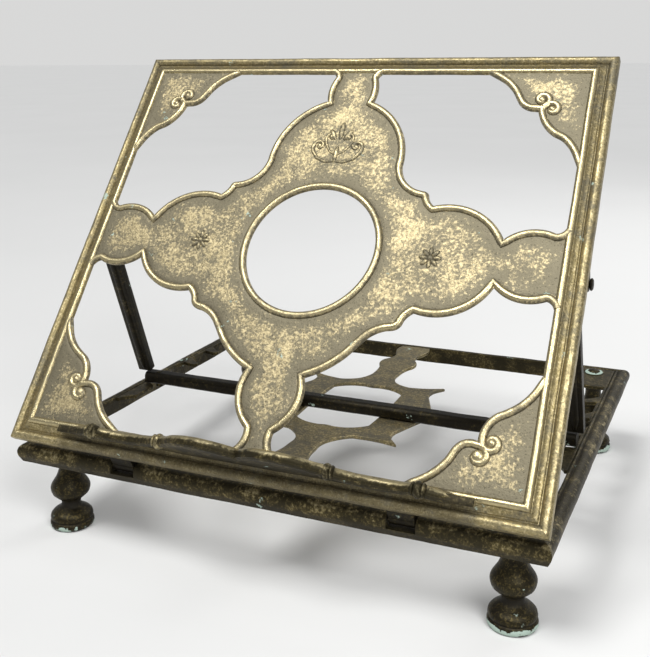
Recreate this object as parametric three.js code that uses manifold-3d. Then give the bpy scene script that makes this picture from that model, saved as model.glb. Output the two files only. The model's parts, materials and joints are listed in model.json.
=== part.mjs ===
// A folding brass book and album stand: a pierced desk hinged to the front of a footed base, held up by a
// swinging U-shaped strut whose pegs drop into hooked racks on the base.
// Millimetres, +Z up, +Y to the back. Lengths along Y are measured from the base's front edge; at the end the
// whole stand is moved so that its origin is on the table under the middle of its bounds.
import * as THREE from "three";
import { mergeVertices } from "three/addons/utils/BufferGeometryUtils.js";
import Module from "manifold-3d";

const wasm = await Module();
wasm.setup();

// ---- driving dimensions ----
const FIT = 0.3; // gap between pieces that touch
const PLATE = 2.4; // thickness of the base's flat castings

const BASE_WIDTH = 321;
const BASE_DEPTH = 281.5;
const BASE_TOP = 56.7; // height of the base's flat top over the table
const BASE_SKIRT = 12; // height of the base's moulded edge
const BASE_FLANGE = 9; // width of a base rail from its outer edge to its inner one

const FOOT_INSET_X = 22.5;
const FOOT_INSET_Y = 19.8;
const FOOT_RADIUS = 13.3;
const SCREW_RADIUS = 6.2;
const PAD_WIDTH = 20.5; // corner pads, inward from the base rails
const PAD_LENGTH = 39;

const RACK_START = 88;
const RACK_SHOULDER = 121; // where the first notch begins
const RACK_SPINE = 1.8;
const RACK_STEP_WIDTH = 8; // the wider strip in front of the first notch
const TOOTH_HEIGHT = 11;
const FIRST_TOOTH_HEIGHT = 5.4; // low, so that the pegs pass beside it as the stand folds
const TOOTH_PITCH = 30.5;
const TOOTH_COUNT = 3;
const FIRST_TOOTH = 138.5; // from the base's front edge to the tip of the first tooth
const TOOTH_LENGTH = 14;

const DESK_WIDTH = 320;
const DESK_HEIGHT = 278;
const DESK_ANGLE = 52; // degrees over the table at rest
const DESK_RAIL = 14; // width of the desk's moulded frame
const DESK_DEPTH = 9; // thickness of that frame
const PANEL = 3; // thickness of the pierced panel
const HOLE_RADIUS = 40.5;
const HOLE_UP = 138; // from the desk's bottom edge to the middle of the round hole

const LEDGE_LENGTH = 247;
const LEDGE_UP = 7;
const LEDGE_THICKNESS = 4;
const LEDGE_REACH = 21; // how far the ledge's middle lobes stand out from the desk's face

const HINGE_SPACING = 169;
const HINGE_Y = 6;
const HINGE_DROP = 2.7; // how far the hinge axis is under the base's top
const HINGE_BEHIND = 18.3; // how far it is behind the desk's face
const HINGE_GAP = 15.8;
const LUG_RADIUS = 4.5;
const PIN_RADIUS = 2;
const PIN_SEAT = 2.6; // how far a hinge pin reaches into the rail on each side of its gap

const PIVOT_UP = 136; // from the desk's bottom edge to the strut's pivots
const PIVOT_BEHIND = 14; // from the desk's face to the strut's pivots
const STRUT_SPAN = 299; // between the middles of the legs
const LEG_WIDTH = 10;
const LEG_DEPTH = 6.4;
const LEG_EYE = 4.2;
const BAR_DEPTH = 10;
const BAR_HEIGHT = 7.6;
const BAR_LENGTH = 300;
const BAR_CLEARANCE = 0.4; // under the bar, over the base's top
const STRUT_FOOT_Y = 125; // where the bar stands on the base
const PEG_RADIUS = 2.5;
const PEG_SPACING = 282;
const PEG_REACH = 2.7; // how far the pegs reach under the base's top
const PIVOT_HEAD = 3.4;

// ---- finishes ----
const finish = (color, roughness) => new THREE.MeshStandardMaterial({ color, roughness, metalness: 0.9 });
const deskBrass = () => finish(0xa08a5c, 0.42);
const baseBronze = () => finish(0x7a6a48, 0.5);
const wornGold = () => finish(0xc9ad6a, 0.34);
const darkBronze = () => finish(0x4a4030, 0.55);

// ---- helpers ----
const half = (size) => size / 2;
const SIDES = [["left", -1], ["right", 1]];

// A closed outline from [x, y, swell] corners. A swell bends the way to the next corner into an arc that stands
// swell half-chords out to the left of the direction of travel.
function outline(corners) {
  const points = [];
  corners.forEach(([x, y, swell = 0], i) => {
    const start = new THREE.Vector2(x, y);
    const [nextX, nextY] = corners[(i + 1) % corners.length];
    points.push(start);
    if (swell) points.push(...arcBetween(start, new THREE.Vector2(nextX, nextY), swell));
  });
  return points.filter((point, i) => turnsAt(points, i));
}

// Whether an outline bends at one of its points; a point on a straight stretch would leave a crack.
function turnsAt(points, i) {
  const before = points.at(i - 1).clone().sub(points[i]).normalize();
  const after = points[(i + 1) % points.length].clone().sub(points[i]).normalize();
  return Math.abs(before.cross(after)) > 1e-4;
}

// The points inside an arc between two corners.
function arcBetween(start, end, swell) {
  const chord = end.clone().sub(start);
  const left = new THREE.Vector2(-chord.y, chord.x).normalize();
  const rise = swell * half(chord.length());
  const radius = (half(chord.length()) ** 2 + rise ** 2) / (2 * rise);
  const centre = start.clone().add(end).multiplyScalar(0.5).addScaledVector(left, rise - radius);
  const from = start.clone().sub(centre);
  const sweep = -4 * Math.atan(swell);
  const steps = Math.max(2, Math.ceil(Math.abs(sweep) / THREE.MathUtils.degToRad(16)));
  const points = [];
  for (let k = 1; k < steps; k++) {
    const turned = from.clone().rotateAround(new THREE.Vector2(), (sweep * k) / steps);
    points.push(turned.add(centre));
  }
  return points;
}

// A whole outline from its right half, which runs from the top of the middle line down to its bottom.
function mirrored(right) {
  const left = right.map(([x, y], i) => [-x, y, i ? right[i - 1][2] : 0]);
  return [...right.slice(0, -1), ...left.slice(1).reverse()];
}

function extruded(points, depth, holes = []) {
  const clockwise = THREE.ShapeUtils.isClockWise(points);
  const shape = new THREE.Shape(clockwise ? points.toReversed() : points);
  shape.holes = holes.map((hole) => new THREE.Path(hole));
  return new THREE.ExtrudeGeometry(shape, { depth, bevelEnabled: false });
}

// A flat casting with its top at the given height.
const plateAt = (points, top, thickness, holes) => extruded(points, thickness, holes).translate(0, 0, top - thickness);

// An outline in Y and Z, extruded along X and centred on the given x.
function crosswise(points, width, x = 0) {
  return extruded(points, width).rotateX(Math.PI / 2).rotateZ(Math.PI / 2).translate(x - half(width), 0, 0);
}

const rodAlongX = (radius, length, x = 0, sides = 20) =>
  new THREE.CylinderGeometry(radius, radius, length, sides).rotateZ(Math.PI / 2).translate(x, 0, 0);

const boxAt = (sizeX, sizeY, sizeZ, x, y, z) => new THREE.BoxGeometry(sizeX, sizeY, sizeZ).translate(x, y, z);

function solid(geometry) {
  const bare = geometry.clone().deleteAttribute("normal").deleteAttribute("uv");
  const merged = mergeVertices(bare, 1e-4);
  return new wasm.Manifold(
    new wasm.Mesh({
      numProp: 3,
      vertProperties: merged.attributes.position.array,
      triVerts: new Uint32Array(merged.index.array),
    }),
  );
}

function geometryOf(manifold) {
  const mesh = manifold.getMesh();
  return new THREE.BufferGeometry()
    .setAttribute("position", new THREE.BufferAttribute(mesh.vertProperties.slice(), 3))
    .setIndex(new THREE.BufferAttribute(mesh.triVerts.slice(), 1));
}

const cut = (geometry, ...tools) =>
  geometryOf(tools.reduce((whole, tool) => whole.subtract(solid(tool)), solid(geometry)));
const joined = (...pieces) => geometryOf(pieces.map(solid).reduce((whole, piece) => whole.add(piece)));

function addPiece(group, name, geometry, material) {
  const flat = geometry.index ? geometry.toNonIndexed() : geometry;
  flat.computeVertexNormals();
  const mesh = new THREE.Mesh(flat, material);
  mesh.name = name;
  group.add(mesh);
  return mesh;
}

// One rail of a mitred frame: the section's x runs inward from the outer edge, its y is the height.
function mitredRail(section, length, edge) {
  const rail = extruded(outline(section), 1);
  const position = rail.attributes.position;
  for (let i = 0; i < position.count; i++) {
    const inward = position.getX(i);
    const height = position.getY(i);
    const end = half(length) - inward - half(FIT);
    position.setXYZ(i, position.getZ(i) > 0.5 ? end : -end, inward - edge, height);
  }
  return rail;
}

// The four rails of a frame that stands on the X axis, in the order front, right, back, left.
function frameRails(section, width, depth) {
  return [0, 1, 2, 3].map((side) => {
    const across = side % 2 === 0;
    const rail = mitredRail(section, across ? width : depth, half(across ? depth : width));
    return rail.rotateZ((side * Math.PI) / 2).translate(0, half(depth), 0);
  });
}

// ---- places worked out from the dimensions ----
const hinge = { y: HINGE_Y, z: BASE_TOP - HINGE_DROP };
const tilt = THREE.MathUtils.degToRad(DESK_ANGLE);
const deskFace = HINGE_BEHIND; // the desk's own z, from the hinge axis
const pivotZ = deskFace - PIVOT_BEHIND;
const pivot = {
  y: hinge.y + PIVOT_UP * Math.cos(tilt) - pivotZ * Math.sin(tilt),
  z: hinge.z + PIVOT_UP * Math.sin(tilt) + pivotZ * Math.cos(tilt),
};
const bar = { y: STRUT_FOOT_Y, z: BASE_TOP + BAR_CLEARANCE + half(BAR_HEIGHT) };
const strutLength = Math.hypot(bar.y - pivot.y, pivot.z - bar.z);
const strutLean = Math.atan2(bar.y - pivot.y, pivot.z - bar.z); // of the legs, from upright
const baseInner = half(BASE_WIDTH) - BASE_FLANGE - FIT; // outer edge of what lies inside the base's rails
const plateFront = BASE_FLANGE + FIT;
const plateBack = BASE_DEPTH - BASE_FLANGE - FIT;

// ---- base ----
const baseSection = [
  [2.2, BASE_TOP - BASE_SKIRT],
  [0.9, BASE_TOP - 9.1, 0.1],
  [0, BASE_TOP - 6.1, 0.45],
  [6.3, BASE_TOP - 0.3],
  [6.8, BASE_TOP - 0.8],
  [7.4, BASE_TOP],
  [BASE_FLANGE, BASE_TOP],
  [BASE_FLANGE, BASE_TOP - PLATE],
  [8.2, BASE_TOP - PLATE],
  [6.2, BASE_TOP - BASE_SKIRT],
];

// The front rail has two gaps for the desk's hinge lugs, with a seat for each pin's ends.
function hingedRail(rail) {
  const tools = SIDES.flatMap(([, side]) => {
    const x = side * half(HINGE_SPACING);
    const floor = hinge.z - LUG_RADIUS - 0.7;
    const gap = boxAt(HINGE_GAP, 4 * BASE_FLANGE, BASE_SKIRT, x, 0, floor + half(BASE_SKIRT));
    const seat = rodAlongX(PIN_RADIUS + FIT, HINGE_GAP + 2 * (PIN_SEAT + FIT), x);
    return [gap, seat.translate(0, hinge.y, hinge.z)];
  });
  return cut(rail, ...tools);
}

function cornerPad(side, rear) {
  const inner = baseInner - PAD_WIDTH;
  const along = (distance) => (rear ? plateBack - distance : plateFront + distance);
  const turn = rear ? side : -side;
  const corners = [
    [side * baseInner, along(0)],
    [side * baseInner, along(PAD_LENGTH)],
    [side * (inner + 6), along(PAD_LENGTH), turn * 0.41],
    [side * inner, along(PAD_LENGTH - 6)],
    [side * inner, along(12), turn * -0.41],
    [side * (inner - 8), along(0)],
  ];
  return plateAt(outline(corners), BASE_TOP, PLATE);
}

// One rack: a spine along the rail with forward-facing hooks. "depth" runs inward from the rail.
function rack(side) {
  const at = (depth, y, swell = 0) => [side * (baseInner - depth), y, side * swell];
  const end = plateBack - PAD_LENGTH - FIT;
  const corners = [
    at(0, RACK_START),
    at(RACK_SPINE, RACK_START, -0.2),
    at(RACK_SPINE + RACK_STEP_WIDTH, RACK_START + 9),
    at(RACK_SPINE + RACK_STEP_WIDTH, RACK_SHOULDER - 4, 0.41),
    at(RACK_SPINE, RACK_SHOULDER),
  ];
  for (let k = 0; k < TOOTH_COUNT; k++) {
    const tip = FIRST_TOOTH + k * TOOTH_PITCH;
    const height = k ? TOOTH_HEIGHT : FIRST_TOOTH_HEIGHT;
    corners.push(
      at(RACK_SPINE, tip + 2.5),
      at(RACK_SPINE + 0.7 * height, tip + 0.2, 0.6),
      at(RACK_SPINE + 0.9 * height, tip + 5.2, -0.12),
      at(RACK_SPINE, tip + TOOTH_LENGTH),
    );
  }
  corners.push(at(RACK_SPINE, end), at(0, end));
  return plateAt(outline(corners), BASE_TOP, PLATE);
}

// The scrolled panel down the middle of the base, with its lobed window.
function baseTracery() {
  const right = [
    [0, plateBack],
    [11, plateBack],
    [12.5, plateBack - 9, 0.1],
    [8.5, 250, -0.2],
    [12.6, 236, 0.25],
    [11.5, 222],
    [9, 206, -0.2],
    [14.5, 188, -0.15],
    [26, 182.5, -0.1],
    [49, 189.5, -0.35],
    [45.5, 166],
    [57, 137.5],
    [45.5, 109, -0.35],
    [51, 86, -0.1],
    [22, 88.5],
    [12, 79, -0.2],
    [9, 64, -0.15],
    [15, 40, 0.15],
    [13, 22, -0.2],
    [22, plateFront],
    [0, plateFront],
  ];
  const windowRight = [
    [0, 177, 0.3],
    [25, 169],
    [26, 137.5],
    [25, 107, 0.3],
    [0, 99],
  ];
  return plateAt(outline(mirrored(right)), BASE_TOP, PLATE, [outline(mirrored(windowRight))]);
}

// A turned foot: a moulded disc, a waist, and a bell that draws in to a slender stem up to the pad.
function foot() {
  const top = BASE_TOP - PLATE - FIT;
  const r = FOOT_RADIUS;
  const profile = [
    [0, 0],
    [r - 1.4, 0],
    [r - 0.3, 1],
    [r, 2.4],
    [r - 0.2, 4],
    [r - 1, 4.9],
    [r - 0.5, 6.6],
    [r - 0.9, 8.4],
    [r - 2.3, 9.9],
    [r - 4.9, 11.3],
    [6.4, 12.6],
    [5.7, 14.2],
    [6.2, 17],
    [8.4, 18.8],
    [10.8, 21],
    [11.9, 24],
    [11.8, 26.2],
    [10.6, 28.4],
    [8.6, 31.4],
    [6.9, 35],
    [5.9, 39],
    [5.4, 44],
    [6, top],
    [0, top],
  ];
  return new THREE.LatheGeometry(profile.map(([x, z]) => new THREE.Vector2(x, z)), 22).rotateX(Math.PI / 2);
}

// The domed screw head that holds a foot, on a thin washer.
function footScrew() {
  const z = BASE_TOP + FIT;
  const profile = [[0, z], [SCREW_RADIUS, z], [SCREW_RADIUS, z + 0.7], [4.4, z + 0.9], [3.4, z + 2], [0, z + 2.5]];
  return new THREE.LatheGeometry(profile.map(([x, h]) => new THREE.Vector2(x, h)), 20).rotateX(Math.PI / 2);
}

function makeBase() {
  const base = new THREE.Group();
  const [front, right, rear, left] = frameRails(baseSection, BASE_WIDTH, BASE_DEPTH);
  addPiece(base, "base_front_rail", hingedRail(front), baseBronze());
  addPiece(base, "base_rear_rail", rear, baseBronze());
  addPiece(base, "base_left_rail", left, baseBronze());
  addPiece(base, "base_right_rail", right, baseBronze());
  addPiece(base, "base_tracery", baseTracery(), baseBronze());
  for (const [name, side] of SIDES) {
    addPiece(base, `rack_${name}`, rack(side), baseBronze());
    const pin = rodAlongX(PIN_RADIUS, HINGE_GAP + 2 * PIN_SEAT, side * half(HINGE_SPACING));
    addPiece(base, `hinge_pin_${name}`, pin.translate(0, hinge.y, hinge.z), darkBronze());
    for (const [end, y, rear_] of [["front", FOOT_INSET_Y, false], ["rear", BASE_DEPTH - FOOT_INSET_Y, true]]) {
      const x = side * (half(BASE_WIDTH) - FOOT_INSET_X);
      addPiece(base, `base_pad_${end}_${name}`, cornerPad(side, rear_), baseBronze());
      addPiece(base, `foot_${end}_${name}`, foot(), wornGold()).position.set(x, y, 0);
      addPiece(base, `foot_screw_${end}_${name}`, footScrew(), wornGold()).position.set(x, y, 0);
    }
  }
  return base;
}

// ---- desk, in its own frame: the origin on the hinge axis, +Y up the slope, +Z out of its face ----
const deskBack = deskFace - DESK_DEPTH;
const deskSection = [
  [0, deskBack],
  [0, deskFace - 4.6, 0.8],
  [5.2, deskFace - 3.4],
  [5.6, deskFace - 3.9, -0.2],
  [10.8, deskFace - 1],
  [DESK_RAIL - 2.6, deskFace - 0.5, 0.9],
  [DESK_RAIL, deskFace - 0.5],
  [DESK_RAIL, deskFace - PANEL],
  [DESK_RAIL - 2, deskFace - PANEL - 0.6],
  [7, deskBack],
];

// The panel's pattern is drawn for an opening of this size and stretched to the desk's own.
const PATTERN = { halfWidth: 146, bottom: 14, top: 264 };
const stretch = {
  x: (half(DESK_WIDTH) - DESK_RAIL - FIT) / PATTERN.halfWidth,
  y: (DESK_HEIGHT - 2 * DESK_RAIL - 2 * FIT) / (PATTERN.top - PATTERN.bottom),
};
const patternPoint = ([x, y, swell]) => [
  x * stretch.x,
  DESK_RAIL + FIT + (y - PATTERN.bottom) * stretch.y,
  swell,
];

// The four-lobed cross, down its right side.
const CROSS = [
  [0, 264],
  [17.2, 264, -0.3],
  [14.4, 260.6, 0.18],
  [15.6, 242.1, 0.3],
  [44.8, 201.1, -0.42],
  [61.8, 180.1, 0.2],
  [65, 178.6, -0.2],
  [69.8, 170.9, 0.36],
  [113.4, 152.7, 0.3],
  [141.4, 158.2, -0.3],
  [146, 161.6],
  [146, 114.2, -0.3],
  [141.6, 118.5, 0.31],
  [112.7, 123.6, 0.36],
  [71.6, 104.3, -0.2],
  [66.2, 96.4, 0.2],
  [62.4, 93.2, -0.22],
  [45.9, 83.3, 0.15],
  [18.2, 59.9, 0.2],
  [18.8, 40.4],
  [8.8, 27, -0.34],
  [14.4, 14],
  [0, 14],
];

// The corner ornaments, on the right: upper and lower.
const UPPER_CORNER = [
  [146, 197, -0.2],
  [135.5, 217.9, 0.25],
  [119.4, 237.4],
  [117.6, 237.6, 0.3],
  [106, 244.6, -0.24],
  [82.5, 264],
  [146, 264],
];
const LOWER_CORNER = [
  [146, 81, 0.24],
  [130, 57.3, -0.28],
  [119.3, 42.5],
  [119.3, 39.9, -0.33],
  [108, 35.7, 0.24],
  [84, 14],
  [146, 14],
];

const panelPiece = (corners, holes) => plateAt(outline(corners.map(patternPoint)), deskFace, PANEL, holes);

function cross() {
  const hole = new THREE.Path().absarc(0, HOLE_UP, HOLE_RADIUS, 0, 2 * Math.PI).getPoints(30).slice(0, -1);
  return panelPiece(mirrored(CROSS), [hole]);
}

function cornerOrnament(corners, side) {
  const turned = side > 0 ? corners : corners.map(([x, y, swell], i) => [-x, y, -(swell ?? 0)]);
  return panelPiece(turned);
}

// The book ledge: a shallow shelf with a cupid's-bow front, swelling at four ring knobs.
function ledge() {
  const root = deskFace + 1.6;
  const reach = deskFace + LEDGE_REACH;
  const end = half(LEDGE_LENGTH);
  const right = [
    [0, reach - 4.5, 0.42],
    [0.37 * end, reach - 4.6, 0.1],
    [0.4 * end, reach - 6.2, -0.2],
    [0.75 * end, reach - 12.4, 0.5],
    [0.82 * end, reach - 13, -0.1],
    [end, root + 1.4],
    [end, root],
    [0, root],
  ];
  const shelf = extruded(outline(mirrored(right)), LEDGE_THICKNESS).rotateX(Math.PI / 2);
  return shelf.translate(0, LEDGE_UP + LEDGE_THICKNESS, 0);
}

// A hinge lug: a round eye on the hinge axis and a web up to the back of the desk's bottom rail.
function hingeLug(x) {
  const width = HINGE_GAP - 1.4;
  const web = [
    [-LUG_RADIUS + 0.6, 0],
    [LUG_RADIUS, 0],
    [6.8, deskBack - FIT],
    [0.2, deskBack - FIT],
  ];
  const eye = rodAlongX(LUG_RADIUS, width, x, 24);
  const bore = rodAlongX(PIN_RADIUS + FIT, width + 2, x, 24);
  return cut(joined(eye, crosswise(outline(web), width, x)), bore);
}

// A strut lug: a thin ear behind the desk's side rail, outside the leg.
const lugWidth = half(DESK_WIDTH) - half(STRUT_SPAN) - half(LEG_WIDTH) - 2 * FIT;
const lugMiddle = half(DESK_WIDTH) - half(lugWidth) - FIT;
function strutLug(side) {
  const ear = [
    [PIVOT_UP - 8, deskBack - FIT],
    [PIVOT_UP - LEG_EYE, pivotZ, -0.9],
    [PIVOT_UP + LEG_EYE, pivotZ],
    [PIVOT_UP + 8, deskBack - FIT],
  ];
  const bore = rodAlongX(PIN_RADIUS + FIT, 3 * lugWidth, side * lugMiddle).translate(0, PIVOT_UP, pivotZ);
  return cut(crosswise(outline(ear), lugWidth, side * lugMiddle), bore);
}

function makeDesk() {
  const desk = new THREE.Group();
  const [bottom, right, top, left] = frameRails(deskSection, DESK_WIDTH, DESK_HEIGHT);
  addPiece(desk, "desk_bottom_rail", bottom, deskBrass());
  addPiece(desk, "desk_top_rail", top, deskBrass());
  addPiece(desk, "desk_left_rail", left, deskBrass());
  addPiece(desk, "desk_right_rail", right, deskBrass());
  addPiece(desk, "desk_cross", cross(), deskBrass());
  addPiece(desk, "desk_ledge", ledge(), wornGold());
  for (const [name, side] of SIDES) {
    addPiece(desk, `desk_corner_top_${name}`, cornerOrnament(UPPER_CORNER, side), deskBrass());
    addPiece(desk, `desk_corner_bottom_${name}`, cornerOrnament(LOWER_CORNER, side), deskBrass());
    addPiece(desk, `hinge_lug_${name}`, hingeLug(side * half(HINGE_SPACING)), darkBronze());
    addPiece(desk, `strut_lug_${name}`, strutLug(side), darkBronze());
  }
  desk.position.set(0, hinge.y, hinge.z);
  desk.rotation.x = tilt;
  return desk;
}

// ---- strut, in its own frame: the origin on the pivots' axis, -Z down the legs ----
function strutLeg(side) {
  const x = side * half(STRUT_SPAN);
  const shaft = [
    [-half(LEG_DEPTH), 0],
    [half(LEG_DEPTH), 0],
    [half(LEG_DEPTH) - 0.4, -strutLength + half(BAR_HEIGHT) + 3],
    [-half(LEG_DEPTH) + 0.4, -strutLength + half(BAR_HEIGHT) + 3],
  ];
  const eye = rodAlongX(LEG_EYE, LEG_WIDTH, x);
  const bore = rodAlongX(PIN_RADIUS + FIT, 2 * LEG_WIDTH, x);
  return cut(joined(eye, crosswise(outline(shaft), LEG_WIDTH, x)), bore);
}

// The foot bar lies level at rest, so its section is turned back by the lean of the legs.
function strutBar() {
  const w = half(BAR_DEPTH);
  const h = half(BAR_HEIGHT);
  const section = [
    [-w, -h + 1],
    [-w, h - 2.4, 0.3],
    [-w + 3, h],
    [w - 2, h, 0.41],
    [w, h - 2],
    [w, -h + 1],
    [w - 1.2, -h],
    [-w + 1.2, -h],
  ];
  const bores = SIDES.map(([, side]) =>
    new THREE.CylinderGeometry(PEG_RADIUS + FIT, PEG_RADIUS + FIT, 2 * BAR_HEIGHT, 16)
      .rotateX(Math.PI / 2)
      .translate(side * half(PEG_SPACING), 0, 0),
  );
  return cut(crosswise(outline(section), BAR_LENGTH), ...bores);
}

function strutPeg() {
  const top = half(BAR_HEIGHT) + 0.4;
  const bottom = -half(BAR_HEIGHT) - BAR_CLEARANCE - PEG_REACH;
  const r = PEG_RADIUS;
  const profile = [[0, bottom], [r - 0.6, bottom], [r, bottom + 0.6], [r, top - 0.5], [r - 0.5, top], [0, top]];
  return new THREE.LatheGeometry(profile.map(([x, z]) => new THREE.Vector2(x, z)), 16).rotateX(Math.PI / 2);
}

// A pivot pin through the lug and the leg, with a round head outside the desk's edge.
function pivotPin(side) {
  const inner = half(STRUT_SPAN) - half(LEG_WIDTH) + 1;
  const outer = half(DESK_WIDTH) + FIT;
  const shank = rodAlongX(PIN_RADIUS, outer - inner, side * half(inner + outer));
  const head = rodAlongX(PIVOT_HEAD, 1.6, side * (outer + 0.8));
  return joined(shank, head);
}

function makeStrut() {
  const strut = new THREE.Group();
  const barFrame = new THREE.Group();
  barFrame.position.z = -strutLength;
  barFrame.rotation.x = -strutLean;
  strut.add(barFrame);
  addPiece(barFrame, "strut_bar", strutBar(), baseBronze());
  for (const [name, side] of SIDES) {
    addPiece(strut, `strut_leg_${name}`, strutLeg(side), baseBronze());
    addPiece(strut, `strut_pivot_${name}`, pivotPin(side), darkBronze());
    addPiece(barFrame, `strut_peg_${name}`, strutPeg(), wornGold()).position.x = side * half(PEG_SPACING);
  }
  strut.position.set(0, pivot.y, pivot.z);
  strut.rotation.x = strutLean;
  return strut;
}

const stand = new THREE.Group();
stand.add(makeBase(), makeDesk(), makeStrut());
stand.position.y = -new THREE.Box3().setFromObject(stand).getCenter(new THREE.Vector3()).y;
export default stand;
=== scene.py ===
"""A folding brass album stand: a pierced, beaded desk over a footed base, held up by a swinging strut.

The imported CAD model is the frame. Every piece here stands for a CAD node and is made in that node's own place.
Shapes are worked in millimetres in the desk's, the base's or the strut's own frame, and then put into the scene's.
"""

import json
import math

import bmesh
import bpy
import numpy as np
from bpy.props import FloatProperty, FloatVectorProperty, IntProperty, PointerProperty
from mathutils import Matrix, Vector, kdtree, noise


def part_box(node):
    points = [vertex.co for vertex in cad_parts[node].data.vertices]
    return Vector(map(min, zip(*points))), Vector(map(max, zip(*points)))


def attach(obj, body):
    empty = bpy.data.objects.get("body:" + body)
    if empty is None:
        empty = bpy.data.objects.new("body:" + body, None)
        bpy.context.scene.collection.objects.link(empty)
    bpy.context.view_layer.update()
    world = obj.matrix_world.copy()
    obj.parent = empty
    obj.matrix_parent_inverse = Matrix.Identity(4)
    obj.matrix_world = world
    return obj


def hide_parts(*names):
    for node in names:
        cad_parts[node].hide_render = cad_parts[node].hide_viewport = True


bl_info = {
    "name": "Album Stand",
    "version": (1, 0, 0),
    "blender": (4, 5, 0),
    "location": "View3D > Sidebar > Album Stand",
    "description": "Builds the looks of a folding cast-brass album stand round its CAD frame",
    "category": "Add Mesh",
}

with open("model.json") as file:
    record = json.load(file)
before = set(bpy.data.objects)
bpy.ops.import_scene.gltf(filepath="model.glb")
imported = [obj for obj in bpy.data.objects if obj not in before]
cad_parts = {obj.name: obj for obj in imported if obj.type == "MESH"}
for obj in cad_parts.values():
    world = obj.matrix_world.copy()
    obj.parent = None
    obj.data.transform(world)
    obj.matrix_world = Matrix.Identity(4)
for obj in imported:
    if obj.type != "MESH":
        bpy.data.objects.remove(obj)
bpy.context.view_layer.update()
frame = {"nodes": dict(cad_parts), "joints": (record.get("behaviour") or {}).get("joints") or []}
NODES = frame["nodes"]
JOINTS = {joint["name"]: joint for joint in frame["joints"]}
MM = 0.001
SIDES = (("left", -1), ("right", 1))

# ---- the three frames the stand is modelled in, from millimetres to the scene ----
DESK_ANGLE = math.radians(52)
STRUT_LEAN = math.radians(20.59)  # how far the strut's legs lean from upright at rest
SCALE = Matrix.Scale(MM, 4)
DESK = Matrix.Translation(JOINTS["desk_fold"]["pos_m"]) @ Matrix.Rotation(DESK_ANGLE, 4, "X") @ SCALE
STRUT = Matrix.Translation(JOINTS["strut_swing"]["pos_m"]) @ Matrix.Rotation(STRUT_LEAN, 4, "X") @ SCALE
BASE = Matrix.Translation((0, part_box("base_front_rail")[0].y, 0)) @ SCALE

BASE_WIDTH, BASE_DEPTH = 321.0, 281.5
BASE_TOP = 56.7
BASE_PLATE = 2.4
DESK_WIDTH, DESK_HEIGHT = 320.0, 278.0
DESK_RAIL = 14.0
LEDGE_LENGTH = 247.0
RACK_SPINE = 1.8
DESK_FACE = 18.3  # the panel's face, out from the hinge axis
PANEL_BACK = 15.3
HINGE_SPACING, HINGE_GAP = 169.0, 15.8
HINGE_DROP, LUG_RADIUS, LUG_CLEARANCE = 2.7, 4.5, 0.7
STRUT_LENGTH = 109.9
BAR_LENGTH = 300.0
LEDGE_UP, LEDGE_THICKNESS = 7.0, 4.0
MITRE_GAP = 0.06  # between two rails at a corner
OUTLINE_STEP = 0.9  # between the points of the panel's outlines
FIELD_PITCH = 1.0  # of the net that makes the panel's field
FRAME_REACH = 0.6  # a point this near the frame's inner edge lies on it
SHARP = math.radians(24)  # an outline that turns more than this at a point has a corner there


class StandSizes(bpy.types.PropertyGroup):
    bead_width: FloatProperty(
        name="Bead Width", description="Width of the raised bead round the windows",
        default=0.0042, min=0.001, max=0.006, precision=4, unit="LENGTH",
    )
    bead_rise: FloatProperty(
        name="Bead Rise", description="Height of the windows' bead over the panel's field",
        default=0.0015, min=0.0004, max=0.003, precision=4, unit="LENGTH",
    )
    field_drop: FloatProperty(
        name="Field Drop", description="How far the panel's field lies under the CAD face",
        default=0.0011, min=0.0, max=0.002, precision=4, unit="LENGTH",
    )
    edge_round: FloatProperty(
        name="Edge Rounding", description="Rounding of the flat castings' edges",
        default=0.0008, min=0.0002, max=0.0011, precision=4, unit="LENGTH",
    )
    ledge_rim: FloatProperty(
        name="Ledge Rim", description="Radius of the roll along the ledge's front",
        default=0.0031, min=0.001, max=0.004, precision=4, unit="LENGTH",
    )
    unevenness: FloatProperty(
        name="Unevenness", description="How far the casting strays from true",
        default=0.00016, min=0.0, max=0.0006, precision=5, unit="LENGTH",
    )
    floor_size: FloatProperty(
        name="Floor Size", description="Width of the studio floor",
        default=30.0, min=2.0, max=60.0, unit="LENGTH",
    )
    turnings: IntProperty(
        name="Round Steps", description="Steps in a full turn of a foot or a screw",
        default=64, min=24, max=128,
    )


def colour(name, description, default):
    return FloatVectorProperty(
        name=name, description=description, default=default, min=0.0, max=1.0, size=3, subtype="COLOR"
    )


class StandColours(bpy.types.PropertyGroup):
    patina: colour("Patina", "Grey-brown film over the panel", (0.170, 0.150, 0.100))
    tan: colour("Tan Brass", "Rubbed brass of the panel's field", (0.37, 0.305, 0.17))
    pale: colour("Pale Brass", "Bright specks of the field", (0.54, 0.455, 0.27))
    gold: colour("Worn Gold", "Bare metal on edges and beads", (0.50, 0.425, 0.245))
    drab: colour("Drab Film", "Film on the desk's frame", (0.175, 0.155, 0.104))
    old_gold: colour("Old Gold", "Rubbed metal of the frame and the base", (0.29, 0.232, 0.105))
    # Painted dark reflection: this film is made very dark so the base looks like metal mirroring dark surroundings; the
    # ledge, strut and feet share the colour
    olive_and_dark_reflection: colour("Olive Bronze", "Film on the base", (0.030, 0.0245, 0.011))
    # The colour of painted shade: hollows, creases, joins and undersides darken to it along with their dirt, and pits
    # in the metal show it. It is also the film of the strut, and of the feet, whose darkness is painted shade
    shade: colour("Dark Film", "Film in hollows and on the strut", (0.014, 0.0115, 0.007))
    verdigris: colour("Verdigris", "Pale green bloom in spots", (0.46, 0.58, 0.50))
    brown: colour("Brown Brass", "Half-rubbed metal of the base and the ledge", (0.105, 0.081, 0.031))
    floor: colour("Floor", "The pale studio floor", (0.74, 0.74, 0.73))
    horizon: colour("Horizon", "The pale backdrop beyond the floor", (0.69, 0.69, 0.685))
    world: colour("Studio Light", "The even light all round", (0.90, 0.91, 0.93))


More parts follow.
